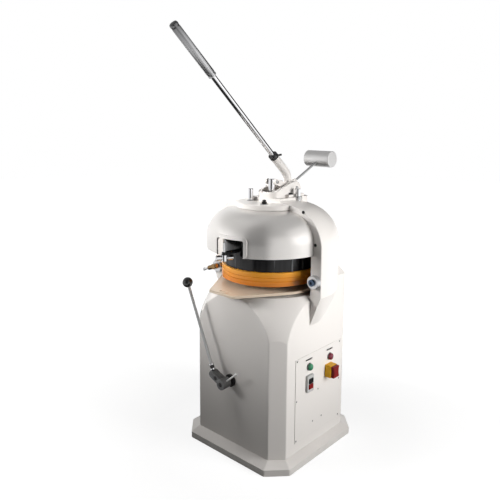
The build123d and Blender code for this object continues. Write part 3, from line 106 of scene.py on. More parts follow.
# Turned outlines from the foot up, each step as (radius, height):
# the radius and the height as shares of the piece's own
BEZEL_SHAPE = ((1.0, 0.14), (0.97, 0.22), (0.94, 0.24), (0.90, 0.2))
LENS_SHAPE = (
    (0.90, 0.1), (0.90, 0.52), (0.85, 0.68), (0.70, 0.84), (0.48, 0.94), (0.2, 0.99), (0.02, 1.0),
)
SCREW_SHAPE = ((1.0, 0.0), (1.0, 0.45), (0.88, 0.8), (0.6, 1.0))
SEAL_SHAPE = ((1.0, 0.55), (0.93, 0.8), (0.8, 0.85), (0.74, 1.0))
STOP_SHAPE = ((1.0, 0.55), (0.93, 0.6), (0.7, 0.62), (0.7, 0.92), (0.62, 1.0))
# the radius as a share and the height in metres
BEZEL_FOOT = ((0.95, 0.0), (1.0, 0.0002))
STOP_FOOT = ((0.97, 0.0034), (1.0, 0.0044))
WASHER_SHAPE = ((1.55, 0.0), (1.55, 0.0024), (1.48, 0.0034), (0.9, 0.0036))
COLLAR_SHAPE = ((0.93, 0.0), (1.0, 0.0008), (1.0, 0.0062), (0.93, 0.007))
PLUG_SHAPE = (
    (1.0, -0.0012), (1.0, 0.0008), (0.88, 0.0016), (0.62, 0.0017), (0.55, 0.0004), (0.3, 0.0003),
)
GRIP_FOOT = ((0.86, 0.0), (1.0, 0.003), (1.0, 0.008), (0.93, 0.010), (0.93, 0.013), (0.985, 0.016))
# the same, with the height measured down from the tip
GRIP_TIP = (
    (0.985, 0.024), (0.93, 0.020), (0.93, 0.016), (1.0, 0.013), (1.0, 0.006), (0.9, 0.0015),
    (0.7, 0.0),
)
# the radius and the height in metres
RING_PROFILE = ((0.0205, 0.0), (0.0222, 0.001), (0.0226, 0.0025), (0.0222, 0.004), (0.0205, 0.005))
PIN_PROFILE = (
    (0.0042, 0.018), (0.0042, 0.094), (0.0060, 0.0945), (0.0064, 0.0955), (0.0064, 0.1085),
    (0.0058, 0.1105), (0.0036, 0.1112),
)
BOLT_PROFILE = (
    (0.0118, -0.0005), (0.0118, 0.0058), (0.0108, 0.0068), (0.0062, 0.0068), (0.0058, 0.0054),
    (0.0020, 0.0054),
)

# Colours of the drum's painted highlight streaks, and of the screens that only reflections see
HIGHLIGHT_STREAK_SHADES = ((0.16, 0.17, 0.18), (0.24, 0.25, 0.26))
SCREEN_SHADES = ((0.012, 0.012, 0.012), (0.02, 0.02, 0.02))
WHITE = (1.0, 1.0, 1.0, 1.0)

NODE_FINISHES = {
    "white_enamel": (
        "cabinet_shell side_cover rear_hood right_corbel left_corbel rear_corbel crown_plate "
        "lever_bracket lever_casting"
    ),
    "plinth_enamel": "base_plinth",
    "dome_lacquer": "dome_cover",
    "cream_plate": "dough_plate",
    "amber_ring": "press_ring",
    "dark_drum": "press_drum",
    "chrome": "press_spindle adjuster_post adjuster_knob guide_columns locating_pins",
    "lever_chrome": "lever_rod",
    "rounding_steel": "rounding_rod",
    "bright_steel": (
        "pivot_pin spindle_pin knife_set pad_carrier orbit_table bed_plate crank_shaft left_idler "
        "right_idler main_pulley motor_pulley motor_shaft"
    ),
    "satin_steel": "side_bosses",
    "weight_steel": "counterweight",
    "dull_steel": "counter_rod",
    "dark_steel": "cover_screws rounding_shaft",
    "blued_steel": "boss_bolt",
    "dark_casting": "bracket_bolts bearing_housing rounding_bush",
    "grey_casting": "rounding_hub",
    "bronze": "spindle_bush",
    "clamp_metal": "clamp_handle",
    "grip_metal": "lever_grip",
    "black_plastic": "lever_collar rounding_ball start_button cable_gland",
    "grey_plastic": "starter_housing",
    "red_plastic": "stop_button switch_knob",
    "yellow_plastic": "switch_plate",
    "green_lens": "green_lamp",
    "red_lens": "red_lamp",
    "belt_rubber": "drive_belt",
    "pad_plastic": "press_pads",
    "grey_paint": "motor motor_bracket",
}

finishes = {}


def swatch(name, description, default):
    """A colour that the sidebar shows as a swatch."""
    return FloatVectorProperty(
        name=name, description=description, subtype="COLOR", size=3, min=0.0, max=1.0,
        default=default,
    )


def scalar(name, description, default, **kind):
    """A number, of a kind that its unit, subtype or limits tell."""
    return FloatProperty(name=name, description=description, default=default, **kind)


def metres(name, description, default):
    """A length in metres."""
    return scalar(name, description, default, unit="LENGTH", min=0.0, precision=4)


def degrees(name, description, default):
    """An angle given in degrees and kept in radians."""
    return scalar(name, description, math.radians(default), subtype="ANGLE")


def watts(name, description, default):
    """The power of a light."""
    return scalar(name, description, default, unit="POWER")


class DividerFinishes(PropertyGroup):
    """Colours of the machine's finishes."""

    enamel: swatch("Enamel", "White paint of the cabinet, hood and plinth", (0.80, 0.765, 0.73))
    dome: swatch("Dome", "Silver-white lacquer of the dome", (0.74, 0.715, 0.69))
    cream: swatch("Dough plate", "Cream moulded plate under the dough", (0.70, 0.575, 0.44))
    amber: swatch("Press ring", "Amber ring round the drum", (0.84, 0.36, 0.035))
    drum: swatch("Drum", "Dark lacquer of the press drum", (0.012, 0.012, 0.013))
    chrome: swatch("Chrome", "Plated rods, columns and knobs", (0.78, 0.78, 0.79))
    steel: swatch("Steel", "Bare turned and rolled steel", (0.56, 0.56, 0.56))
    weight: swatch("Counterweight", "Pale ground steel of the counterweight", (0.90, 0.89, 0.88))
    blued: swatch("Blued steel", "Bolt in the right boss", (0.07, 0.10, 0.15))
    iron: swatch("Casting", "Dark cast iron and blackened bolts", (0.045, 0.043, 0.042))
    bronze: swatch("Bronze", "Bearing bushes and the clamp's barrel", (0.30, 0.19, 0.09))
    # the grip colour is the bright end of the grip's painted reflection gradient
    grip: swatch("Grip", "Lever's grip where it is worn bright", (0.64, 0.64, 0.65))
    black: swatch("Black plastic", "Black knobs and buttons", (0.012, 0.012, 0.012))
    grey: swatch("Grey plastic", "Grey housings and pads", (0.55, 0.55, 0.54))
    red: swatch("Red plastic", "Red button and switch knob", (0.21, 0.010, 0.010))
    yellow: swatch("Yellow plastic", "Yellow plate of the main switch", (0.84, 0.44, 0.015))
    green_glass: swatch("Green lens", "Lens of the running lamp", (0.02, 0.20, 0.09))
    red_glass: swatch("Red lens", "Lens of the fault lamp", (0.17, 0.012, 0.03))
    rubber: swatch("Rubber", "Drive belt", (0.05, 0.05, 0.05))
    floor: swatch("Floor", "Pale studio floor", (0.32, 0.32, 0.32))


class DividerSizes(PropertyGroup):
    """Sizes of the small fittings."""

    screw_radius: metres("Screw radius", "Radius of a cover screw's head", 0.0045)
    screw_height: metres("Screw height", "Height of a cover screw's head", 0.0022)
    grip_flutes: IntProperty(
        name="Flutes", description="Flutes round the lever's grip", min=6, default=10
    )
    flute_depth: metres("Flute depth", "Depth of a flute in the grip", 0.0011)
    shade_rim_margin: metres("Gasket margin", "How far the gasket shows round the cover", 0.0016)
    shade_rim_height: metres("Gasket height", "How far the gasket stands off the cabinet", 0.0012)
    seal_radius: metres("Seal radius", "Radius of the wiper seal round a column", 0.019)
    seal_height: metres("Seal height", "Height of a column's wiper seal", 0.0045)
    stop_radius: metres("Stop radius", "Radius of the stop screw on the crown plate", 0.0125)
    stop_height: metres("Stop height", "Height of the stop screw on the crown plate", 0.021)
    strip_length: metres("Strip length", "Length of the strip above a pilot lamp", 0.050)
    strip_width: metres("Strip width", "Width of the strip above a pilot lamp", 0.007)
    strip_rise: metres("Strip rise", "Height of the strip above the middle of its lamp", 0.036)
    plug_radius: metres("Plug radius", "Radius of the plugs in the hood's band", 0.0075)


class DividerStage(PropertyGroup):
    """Camera and studio lights."""

    camera_reach: metres("Camera reach", "Level distance from the machine's axis", 2.722)
    camera_height: metres("Camera height", "Height of the camera above the floor", 1.569)
    camera_yaw: degrees("Camera yaw", "How far round to the right it stands", CAMERA_BEARING)
    camera_pitch: degrees("Camera pitch", "How far the camera looks down", 8.0)
    camera_roll: degrees("Camera roll", "How far the camera leans", 0.66)
    focal_length: scalar("Focal length", "Camera's lens", 40.48, subtype="DISTANCE_CAMERA")
    shift_x: scalar("Shift X", "Sideways shift of the frame", -0.0456)
    shift_y: scalar("Shift Y", "Upright shift of the frame", -0.0962)
    key_power: watts("Right light", "Right softbox", 16.2)
    fill_power: watts("Left light", "High left softbox", 4.4)
    top_power: watts("Top light", "Overhead softbox", 40.0)
    gleam_power: watts("Gleam", "Broad light that only shows in reflections", 22.0)
    room_strength: scalar("Room", "Soft light from all round", 0.02, min=0.0)


def wired(tree, kind, output, inputs, **options):
    """Add a node with its options, feed or set its inputs, and give one of its outputs."""
    node = tree.nodes.new(f"ShaderNode{kind}")
    for name, option in options.items():
        setattr(node, name, option)
    for name, source in inputs.items():
        if isinstance(source, NodeSocket):
            tree.links.new(source, node.inputs[name])
        else:
            node.inputs[name].default_value = source
    return node.outputs[output]


def ranged(tree, pattern, low, high, start, end):
    """Spread a pattern's stretch from start to end over the values from low to high."""
    inputs = {"Value": pattern, "From Min": start, "From Max": end, "To Min": low, "To Max": high}
    return wired(tree, "MapRange", "Result", inputs)


def worked_out(tree, operation, first, second):
    """Bring two patterns together by arithmetic."""
    return wired(tree, "Math", "Value", {0: first, 1: second}, operation=operation)


def seen_rays(tree, mirrored=1.0):
    """1 for what the camera sees, also through glass, a given pattern in mirrors, 0 for light."""
    path = tree.nodes.new("ShaderNodeLightPath").outputs
    in_mirrors = worked_out(tree, "MULTIPLY", path["Is Glossy Ray"], mirrored)
    seen = worked_out(tree, "MAXIMUM", path["Is Camera Ray"], in_mirrors)
    return worked_out(tree, "MAXIMUM", seen, path["Is Transmission Ray"])


class Surface:
    """A finish being mixed: one material, its shader, and the patterns that feed it."""

    def __init__(self, name):
        self.material = bpy.data.materials.new(name)
        self.material.use_nodes = True
        self.tree = self.material.node_tree
        self.shader = self.tree.nodes["Principled BSDF"]
        self.place = wired(self.tree, "TexCoord", "Object", {})

    def feed(self, name, source):
        """Feed a socket of the shader."""
        self.tree.links.new(source, self.shader.inputs[name])

    def plain(self, **values):
        """Set sockets of the shader that are the same all over."""
        for name, value in values.items():
            self.shader.inputs[name.replace("_", " ")].default_value = value

    def finished(self, colour, roughness, relief, depth, strength, **values):
        """Feed colour, roughness and a raised pattern, set the rest and give the material."""
        inputs = {"Height": relief, "Distance": depth, "Strength": strength}
        self.feed("Base Color", colour)
        self.feed("Roughness", roughness)
        self.feed("Normal", wired(self.tree, "Bump", "Normal", inputs))
        self.plain(**values)
        return self.material

    def drawn(self, lengths, turn=NO_TURN):
        """Coordinates whose unit is as long as given along each axis, for drawn metal."""
        inputs = {"Vector": self.place, "Rotation": turn, "Scale": lengths}
        return wired(self.tree, "Mapping", "Vector", inputs, vector_type="TEXTURE")

    def noise(self, scale, detail=2.0, place=None):
        """Cloudy pattern."""
        inputs = {"Vector": place or self.place, "Scale": scale, "Detail": detail}
        return wired(self.tree, "TexNoise", "Fac", inputs)

    def lines(self, lengths, detail, turn=NO_TURN):
        """Pattern stretched along the way that the metal was drawn or turned."""
        return self.noise(1.0, detail, self.drawn(lengths, turn))

    def cells(self, scale):
        """Pattern of small separate cells, for cast and moulded grain."""
        return wired(self.tree, "TexVoronoi", "Distance", {"Vector": self.place, "Scale": scale})

    def height(self, low, high):
        """Goes from 0 at one height to 1 at another."""
        upright = wired(self.tree, "SeparateXYZ", "Z", {"Vector": self.place})
        return self.between(upright, 0.0, 1.0, low, high)

    def along(self, centre, direction):
        """Distance from a point, measured along a direction."""
        inputs = {0: self.place, 1: centre}
        moved = wired(self.tree, "VectorMath", "Vector", inputs, operation="SUBTRACT")
        inputs = {0: moved, 1: direction}
        return wired(self.tree, "VectorMath", "Value", inputs, operation="DOT_PRODUCT")

    def between(self, pattern, low, high, start=0.35, end=0.65):
        """Spread a pattern over a range of values."""
        return ranged(self.tree, pattern, low, high, start, end)

    def times(self, first, second):
        """Product of two patterns."""
        return worked_out(self.tree, "MULTIPLY", first, second)

    def shades(self, pattern, first, second, start=0.35, end=0.65):
        """Two colours, the second where the pattern is strong."""
        node = self.tree.nodes.new("ShaderNodeValToRGB")
        stops = zip(node.color_ramp.elements, (start, end), (first, second))
        for element, place, colour in stops:
            element.position = place
            element.color = (*colour, 1.0)
        self.tree.links.new(pattern, node.inputs["Fac"])
        return node.outputs["Color"]

    def over(self, amount, under, upper):
        """Lay one colour over another where the amount is strong."""
        inputs = {"Factor": amount, "A": under, "B": upper}
        return wired(self.tree, "Mix", "Result", inputs, data_type="RGBA")


def darker(colour, share):
    """A colour at a share of its strength."""
    return tuple(share * part for part in colour)


def lighter(colour, share):
    """A colour raised by a share, as far as white."""
    return tuple(min(1.0, share * part) for part in colour)


def enamel(name, colour, grime_top=None):
    """Sprayed enamel: faint orange peel, hardly any patches, and scuffs low down."""
    mix = Surface(name)
    paint = mix.shades(mix.noise(1.4, 1.0), darker(colour, 0.97), colour, 0.0, 1.0)
    if grime_top:
        runs = mix.lines((0.03, 0.03, 0.16), 4.0)
        low = mix.height(grime_top, 0.0)
        scuffs = mix.times(low, mix.between(runs, 0.0, 0.05, 0.45, 0.7))
        dirt = mix.shades(mix.noise(60.0), darker(colour, 0.42), darker(colour, 0.6))
        paint = mix.over(scuffs, paint, dirt)
    gloss = mix.between(mix.noise(3.0, 1.0), 0.27, 0.31, 0.0, 1.0)
    return mix.finished(
        paint, gloss, mix.noise(420.0), 0.0004, 0.08,
        Coat_Weight=0.15, Coat_Roughness=0.12, Specular_IOR_Level=0.4,
    )


def flake_lacquer(name, colour):
    """Silver-white lacquer with fine metal flake under a clear coat."""
    mix = Surface(name)
    flake = mix.cells(1600.0)
    patches = mix.shades(mix.noise(1.4, 1.0), darker(colour, 0.97), colour, 0.0, 1.0)
    bright = mix.shades(flake, lighter(colour, 1.05), darker(colour, 0.95), 0.2, 0.6)
    lacquer = mix.over(mix.between(flake, 0.2, 0.5, 0.2, 0.6), patches, bright)
    gloss = mix.between(flake, 0.27, 0.31, 0.2, 0.6)
    return mix.finished(
        lacquer, gloss, mix.noise(420.0), 0.0004, 0.06,
        Metallic=0.62, Coat_Weight=0.1, Coat_Roughness=0.15,
    )


def drawn_metal(name, colour, low, high, lengths, turn=NO_TURN, contrast=0.82, depth=0.00008):
    """Bright metal whose fine lines follow the way it was drawn or turned."""
    mix = Surface(name)
    lines = mix.lines(lengths, 5.0, turn)
    metal = mix.shades(lines, darker(colour, contrast), colour, 0.3, 0.7)
    gloss = mix.between(lines, low, high, 0.3, 0.7)
    return mix.finished(metal, gloss, lines, depth, 0.25, Metallic=1.0)


def cast_metal(name, colour, metallic, low, high, grain=260.0):
    """Sand-cast or blackened metal with a fine pitted skin."""
    mix = Surface(name)
    metal = mix.shades(mix.noise(34.0, 5.0), darker(colour, 0.6), colour)
    gloss = mix.between(mix.noise(52.0, 3.0), low, high)
    return mix.finished(metal, gloss, mix.cells(grain), 0.0006, 0.22, Metallic=metallic)


def moulded(name, colour, low, high, coat=0.2, gleam=0.5, grain=900.0, depth=0.00012):
    """Moulded plastic or rubber with a fine grain and a slight polish."""
    mix = Surface(name)
    skin = mix.shades(mix.noise(28.0, 3.0), darker(colour, 0.86), colour)
    gloss = mix.between(mix.noise(70.0, 3.0), low, high)
    return mix.finished(
        skin, gloss, mix.cells(grain), depth, 0.2,
        Coat_Weight=coat, Coat_Roughness=0.1, Specular_IOR_Level=gleam,
    )


def lens_glass(name, colour):
    """Coloured lamp lens, lighter where its ribs gather the light."""
    mix = Surface(name)
    ribs = mix.lines((0.05, 0.0022, 0.05), 2.0)
    glass = mix.shades(ribs, darker(colour, 0.55), lighter(colour, 1.5))
    gloss = mix.between(mix.noise(90.0), 0.06, 0.16)
    return mix.finished(
        glass, gloss, ribs, 0.0004, 0.3, Coat_Weight=0.6, Coat_Roughness=0.04, IOR=1.49
    )


def amber_resin(name, colour):
    """Glossy amber ring: faint turned lines, and painted shade that makes it deeper and redder
    towards its foot.
    """
    mix = Surface(name)
    low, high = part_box("press_ring")
    lines = mix.lines((3.0, 3.0, 0.0012), 1.0)
    shaded_colour = (0.80 * colour[0], 0.55 * colour[1], 0.5 * colour[2])
    top = mix.shades(lines, darker(colour, 0.97), colour, 0.3, 0.7)
    foot = mix.shades(lines, darker(shaded_colour, 0.97), shaded_colour, 0.3, 0.7)
    # painted shade: the ring's colour darkens and reddens from its top down to its foot
    resin = mix.over(mix.height(high.z, low.z), top, foot)
    gloss = mix.between(mix.noise(9.0), 0.20, 0.26)
    return mix.finished(
        resin, gloss, lines, 0.00004, 0.1,
        Coat_Weight=0.15, Coat_Roughness=0.05, Specular_IOR_Level=0.3,
    )


def dark_lacquer(name, colour):
    """Deep gloss lacquer with a few upright painted highlight streaks."""
    mix = Surface(name)
    highlight_streaks = mix.lines((0.024, 0.024, 0.6), 1.0)
    marks = mix.lines((0.016, 0.016, 0.5), 4.0)
    # the upright marks also lighten the black in thin streaks: painted highlights
    skin = mix.shades(marks, darker(colour, 0.7), lighter(colour, 1.5), 0.35, 0.8)
    fine_speckle = mix.shades(mix.noise(160.0), *HIGHLIGHT_STREAK_SHADES)
    # painted highlight streaks: thin upright bands of lighter grey laid over the black
    lacquer = mix.over(mix.between(highlight_streaks, 0.0, 0.55, 0.66, 0.74), skin, fine_speckle)
    gloss = mix.between(marks, 0.12, 0.22)
    return mix.finished(lacquer, gloss, marks, 0.0002, 0.08, Specular_IOR_Level=0.3)


def rolled_plate(name, colour):
    """Cream moulded plate with a soft polish and a little flour dust."""
    mix = Surface(name)
    clouds = mix.noise(3.0, 1.0)
    fine_speckle = mix.noise(180.0)
    base = mix.shades(clouds, darker(colour, 0.94), colour, 0.0, 1.0)
    dust = mix.shades(fine_speckle, colour, lighter(colour, 1.12))
    plate = mix.over(mix.between(fine_speckle, 0.0, 0.35, 0.5, 0.7), base, dust)
    gloss = mix.between(clouds, 0.26, 0.32, 0.0, 1.0)
    return mix.finished(
        plate, gloss, mix.noise(240.0, 3.0), 0.0003, 0.10, Coat_Weight=0.2, Coat_Roughness=0.15
    )


def reflection_gradient_grip(name, colour):
    """Grip tube with a painted reflection: dark at its tip, bright towards the rod."""
    mix = Surface(name)
    low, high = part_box("lever_grip")
    lines = mix.lines((0.004, 0.004, 0.22), 4.0, ROD_TURN)
    painted_bright_reflection = mix.shades(lines, darker(colour, 0.75), colour, 0.3, 0.7)
    painted_dark_reflection = mix.shades(lines, darker(colour, 0.07), darker(colour, 0.24), 0.3, 0.7)
    # painted reflection: the grip is painted dark towards its tip and bright towards the rod
    tipwards = mix.height(low.z + REFLECTION_FADE_START, high.z - REFLECTION_FADE_END)
    gloss = mix.between(lines, 0.22, 0.34, 0.3, 0.7)
    return mix.finished(
        mix.over(tipwards, painted_bright_reflection, painted_dark_reflection), gloss, lines, 0.00006, 0.2, Metallic=1.0
    )


def clamp_metal(name, barrel, bar):
    """Clamp handle: bronze barrel between bright ends."""
    mix = Surface(name)
    reach = mix.along(CLAMP_CENTRE, CLAMP_ALONG)
    grain = mix.noise(60.0, 3.0)
    brown = mix.shades(grain, darker(barrel, 0.7), barrel)
    bright = mix.shades(grain, darker(bar, 0.9), bar)
    inner = mix.between(reach, 0.0, 1.0, *BARREL_START)
    outer = mix.between(reach, 1.0, 0.0, *BARREL_END)
    metal = mix.over(mix.times(inner, outer), bright, brown)
    gloss = mix.between(grain, 0.16, 0.30)
    return mix.finished(metal, gloss, mix.cells(420.0), 0.0003, 0.12, Metallic=1.0)


def rounding_steel(name, rod, sleeve):
    """Rounding lever's rod: dull grey steel, blackened at its sleeve."""
    mix = Surface(name)
    low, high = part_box("rounding_rod")
    lines = mix.lines((0.0016, 0.0016, 0.3), 4.0, ROUNDING_TURN)
    grey = mix.shades(lines, darker(rod, 0.85), rod, 0.3, 0.7)
    black = mix.shades(lines, darker(sleeve, 0.7), sleeve, 0.3, 0.7)
    reach = mix.along((high.x, 0.0, low.z), ROUNDING_UP)
    metal = mix.over(mix.between(reach, 1.0, 0.0, *SLEEVE_END), grey, black)
    gloss = mix.between(lines, 0.36, 0.46, 0.3, 0.7)
    return mix.finished(metal, gloss, lines, 0.00008, 0.2, Metallic=1.0)


def mix_finishes(colours):
    """Every finish of the machine by its name: each recipe is a kind, colours and looks."""
    steel, chrome = colours.steel, colours.chrome
    upright = (0.0016, 0.0016, 0.35)
    rings = (0.25, 0.25, 0.0012)
    recipes = {
        "white_enamel": (enamel, colours.enamel),
        "plinth_enamel": (enamel, colours.enamel, GRIME_TOP),
        "dome_lacquer": (flake_lacquer, colours.dome),
        "cream_plate": (rolled_plate, colours.cream),
        "amber_ring": (amber_resin, colours.amber),
        "dark_drum": (dark_lacquer, colours.drum),
        "chrome": (drawn_metal, chrome, 0.05, 0.12, upright, NO_TURN, 0.93, 0.00003),
        "lever_chrome": (drawn_metal, chrome, 0.06, 0.14, upright, ROD_TURN, 0.9, 0.00003),
        "rounding_steel": (rounding_steel, darker(steel, 0.95), darker(steel, 0.12)),
        "bright_steel": (drawn_metal, steel, 0.2, 0.36, rings),
        "satin_steel": (drawn_metal, darker(chrome, 0.95), 0.3, 0.42, rings),
        "weight_steel": (drawn_metal, colours.weight, 0.46, 0.54, rings, NO_TURN, 0.93),
        "dull_steel": (drawn_metal, darker(steel, 0.9), 0.36, 0.5, rings),
        "dark_steel": (drawn_metal, darker(steel, 0.28), 0.3, 0.45, rings),
        "blued_steel": (drawn_metal, colours.blued, 0.18, 0.3, rings),
        "dark_casting": (cast_metal, colours.iron, 0.55, 0.36, 0.56),
        "grey_casting": (cast_metal, darker(steel, 0.36), 0.85, 0.34, 0.5),
        "bronze": (cast_metal, colours.bronze, 0.9, 0.26, 0.42, 420.0),
        "clamp_metal": (clamp_metal, colours.bronze, chrome),
        "grip_metal": (reflection_gradient_grip, colours.grip),
        "black_plastic": (moulded, colours.black, 0.16, 0.28, 0.4),
        "grey_plastic": (moulded, colours.grey, 0.34, 0.48),
        "red_plastic": (moulded, colours.red, 0.32, 0.42, 0.0, 0.2),
        "yellow_plastic": (moulded, colours.yellow, 0.34, 0.44, 0.0, 0.2),
        "green_lens": (lens_glass, colours.green_glass),
        "red_lens": (lens_glass, colours.red_glass),
        "belt_rubber": (moulded, colours.rubber, 0.55, 0.75, 0.0, 0.5, 600.0, 0.0004),
        # painted shade: a darker grey rim that stands for the shaded edge of the side cover
        "gasket_rubber": (moulded, darker(colours.enamel, 0.8), 0.5, 0.65, 0.0, 0.5, 600.0),
        "strip_plastic": (moulded, darker(colours.grey, 0.12), 0.3, 0.4, 0.1),
        "pad_plastic": (moulded, lighter(colours.grey, 1.9), 0.3, 0.45),
        "grey_paint": (enamel, colours.grey),
    }
    return {name: kind(name, *looks) for name, (kind, *looks) in recipes.items()}


def alone(piece):
    """Leave one piece selected and active, in object mode."""
    bpy.ops.object.select_all(action="DESELECT")
    piece.select_set(True)
    bpy.context.view_layer.objects.active = piece


def added(name):
    """Name the primitive that was just added and open it with all of it selected."""
    piece = bpy.context.object
    piece.name = name
    piece.data.name = name
    bpy.ops.object.transform_apply(location=True, rotation=True, scale=True)
    bpy.ops.object.mode_set(mode="EDIT")
    bpy.ops.mesh.select_all(action="SELECT")
    return piece


def closed(piece):
    """Merge what meets, turn the faces outwards and go back to object mode."""
    bpy.ops.mesh.select_all(action="SELECT")
    bpy.ops.mesh.remove_doubles(threshold=1e-6)
    bpy.ops.mesh.normals_make_consistent(inside=False)
    bpy.ops.object.mode_set(mode="OBJECT")
    return piece


def lifted(height):
    """Draw what is selected out along +Z."""
    bpy.ops.mesh.extrude_region_move(TRANSFORM_OT_translate={"value": (0, 0, height)})


def shaped(shape, radius, height=1.0):
    """A turned outline from shares of a radius, and of a height where one is given."""
    return [(share * radius, rise * height) for share, rise in shape]


def turned(name, profile, sides):
    """A turned piece standing on the origin: a disc drawn out along +Z, ring by ring."""
    bpy.ops.object.select_all(action="DESELECT")
    radius, height = profile[0]
    bpy.ops.mesh.primitive_circle_add(
        vertices=sides, radius=radius, fill_type="NGON", location=(0, 0, height)
    )
    piece = added(name)
    for next_radius, next_height in profile[1:]:
        lifted(next_height - height)
        share = next_radius / radius
        bpy.ops.transform.resize(value=(share, share, 1), center_override=(0, 0, next_height))
        radius, height = next_radius, next_height
    return closed(piece)


def flat(name, width, length):
    """A flat rectangle on the origin, open for editing with all of it selected."""
    bpy.ops.object.select_all(action="DESELECT")
    bpy.ops.mesh.primitive_plane_add(size=1.0)
    piece = added(name)
    bpy.ops.transform.resize(value=(width, length, 1), center_override=ORIGIN)
    return piece


def stand(piece, centre, along=(0, 0, 1), spin=0.0):
    """Turn a piece's +Z along a direction, carry it to its place and keep that in its mesh."""
    turn = Vector(along).normalized().to_track_quat("Z", "Y").to_matrix().to_4x4()
    piece.matrix_world = Matrix.Translation(centre) @ turn @ Matrix.Rotation(spin, 4, "Z")
    alone(piece)
    bpy.ops.object.transform_apply(location=True, rotation=True, scale=True)
    return piece


def copied(piece, name):
    """A copy of a piece with a mesh of its own."""
    twin = piece.copy()
    twin.data = piece.data.copy()
    twin.name = name
    twin.data.name = name
    bpy.context.collection.objects.link(twin)
    return twin


def modified(piece, kind, **settings):
    """Give a piece a modifier with its settings and apply it."""
    alone(piece)
    bpy.ops.object.modifier_add(type=kind)
    modifier = piece.modifiers[-1]
    for name, value in settings.items():
        setattr(modifier, name, value)
    bpy.ops.object.modifier_apply(modifier=modifier.name)
    return piece


def softened(piece, width):
    """Round a piece's sharp edges."""
    sharp = math.radians(35.0)
    return modified(
        piece, "BEVEL", width=width, segments=2, limit_method="ANGLE", angle_limit=sharp
    )


def cut_from(piece, cutter):
    """Cut one shape out of another and remove the cutter."""
    modified(piece, "BOOLEAN", operation="DIFFERENCE", solver="EXACT", object=cutter)
    alone(cutter)
    bpy.ops.object.delete()


def fitted(piece, body, finish, stands_for=(), angle=32.0):
    """Finish a piece: smooth it, give it its material and let it ride on its body."""
    alone(piece)
    bpy.ops.object.shade_smooth_by_angle(angle=math.radians(angle))
    piece.data.materials.clear()
    piece.data.materials.append(finishes[finish])
    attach(piece, body)
    if stands_for:
        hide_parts(*stands_for)


class DIVIDER_OT_finishes(Operator):
    """Mix the finishes and give each CAD node its own"""

    bl_idname = "divider.finishes"
    bl_label = "Finishes"

    def execute(self, context):
        finishes.update(mix_finishes(context.scene.divider_finishes))
        left = set(nodes)
        for finish, names in NODE_FINISHES.items():
            for name in names.split():
                nodes[name].data.materials.clear()
                nodes[name].data.materials.append(finishes[finish])
                left.discard(name)
        if left:
            raise RuntimeError(f"no finish for {sorted(left)}")
        return {"FINISHED"}


class DIVIDER_OT_pilot_lamps(Operator):
    """Pilot lamps: a domed lens in a dark bezel on the side cover"""

    bl_idname = "divider.pilot_lamps"
    bl_label = "Pilot lamps"

    def execute(self, context):
        for colour in ("green", "red"):
            node = f"{colour}_lamp"
            low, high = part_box(node)
            centre = (low + high) / 2
            radius = LAMP_SPREAD * (high.z - low.z) / 2
            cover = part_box("side_cover")[1].x
            depth = high.x - cover
            place = Vector((cover, centre.y, centre.z))
            rim = shaped(BEZEL_FOOT, radius) + shaped(BEZEL_SHAPE, radius, depth)
            bezel = turned(f"{colour}_lamp_bezel", rim, sides=40)
            fitted(stand(bezel, place, RIGHT), "base", "dark_steel")
            lens = turned(f"{colour}_lamp_lens", shaped(LENS_SHAPE, radius, depth), sides=28)
            fitted(stand(lens, place, RIGHT), "base", f"{colour}_lens", stands_for=[node])
        return {"FINISHED"}


class DIVIDER_OT_cover_screws(Operator):
    """Cross-recessed screws of the side cover"""

    bl_idname = "divider.cover_screws"
    bl_label = "Cover screws"

    def execute(self, context):
        sizes = context.scene.divider_sizes
        radius, height = sizes.screw_radius, sizes.screw_height
        low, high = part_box("cover_screws")
        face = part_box("side_cover")[1].x
        head = turned("cover_screw_1", shaped(SCREW_SHAPE, radius, height), sides=28)
        recess = (RECESS_LENGTH * radius, RECESS_WIDTH * radius, height)
        for slant in (45, 135):
            bpy.ops.object.select_all(action="DESELECT")
            bpy.ops.mesh.primitive_cube_add(size=1.0, location=(0, 0, height))
            cutter = added("screw_recess")
            bpy.ops.transform.resize(value=recess, center_override=(0, 0, height))
            closed(cutter)
            stand(cutter, ORIGIN, spin=math.radians(slant))
            cut_from(head, cutter)
        stand(head, ORIGIN, RIGHT)
        centre, half = (low + high) / 2, (high - low) / 2
        places = [
            (centre.y + side * (half.y - radius), centre.z + rise * (half.z - radius))
            for side in (-1, 1) for rise in (-1, 0, 1)
        ]
        places += INNER_SCREWS
        for number, (y, z) in enumerate(places[1:], 2):
            twin = copied(head, f"cover_screw_{number}")
            fitted(stand(twin, (face, y, z)), "base", "dark_steel")
        stand(head, (face, *places[0]))
        fitted(head, "base", "dark_steel", stands_for=["cover_screws"])
        return {"FINISHED"}


class DIVIDER_OT_cover_shade_rim(Operator):
    """Darker rim round the side cover: painted shade that stands for the cover's shaded edge"""

    bl_idname = "divider.cover_gasket"
    bl_label = "Cover gasket"

    def execute(self, context):
        sizes = context.scene.divider_sizes
        low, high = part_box("side_cover")
        centre = (low + high) / 2
        margin = sizes.shade_rim_margin
        width, length = high.y - low.y + 2 * margin, high.z - low.z + 2 * margin
        shade_rim = flat("cover_gasket", width, length)
        bpy.ops.mesh.inset(thickness=SHADE_RIM_LAP * margin, depth=0.0)
        bpy.ops.mesh.delete(type="FACE")
        bpy.ops.mesh.select_all(action="SELECT")
        lifted(sizes.shade_rim_height)
        closed(shade_rim)
        softened(shade_rim, SHADE_RIM_EDGE * sizes.shade_rim_height)
        stand(shade_rim, (low.x + SHADE_RIM_CLEARANCE, centre.y, centre.z), RIGHT)
        # the rim's darker grey is painted shade along the cover's edge
        fitted(shade_rim, "base", "gasket_rubber")
        return {"FINISHED"}


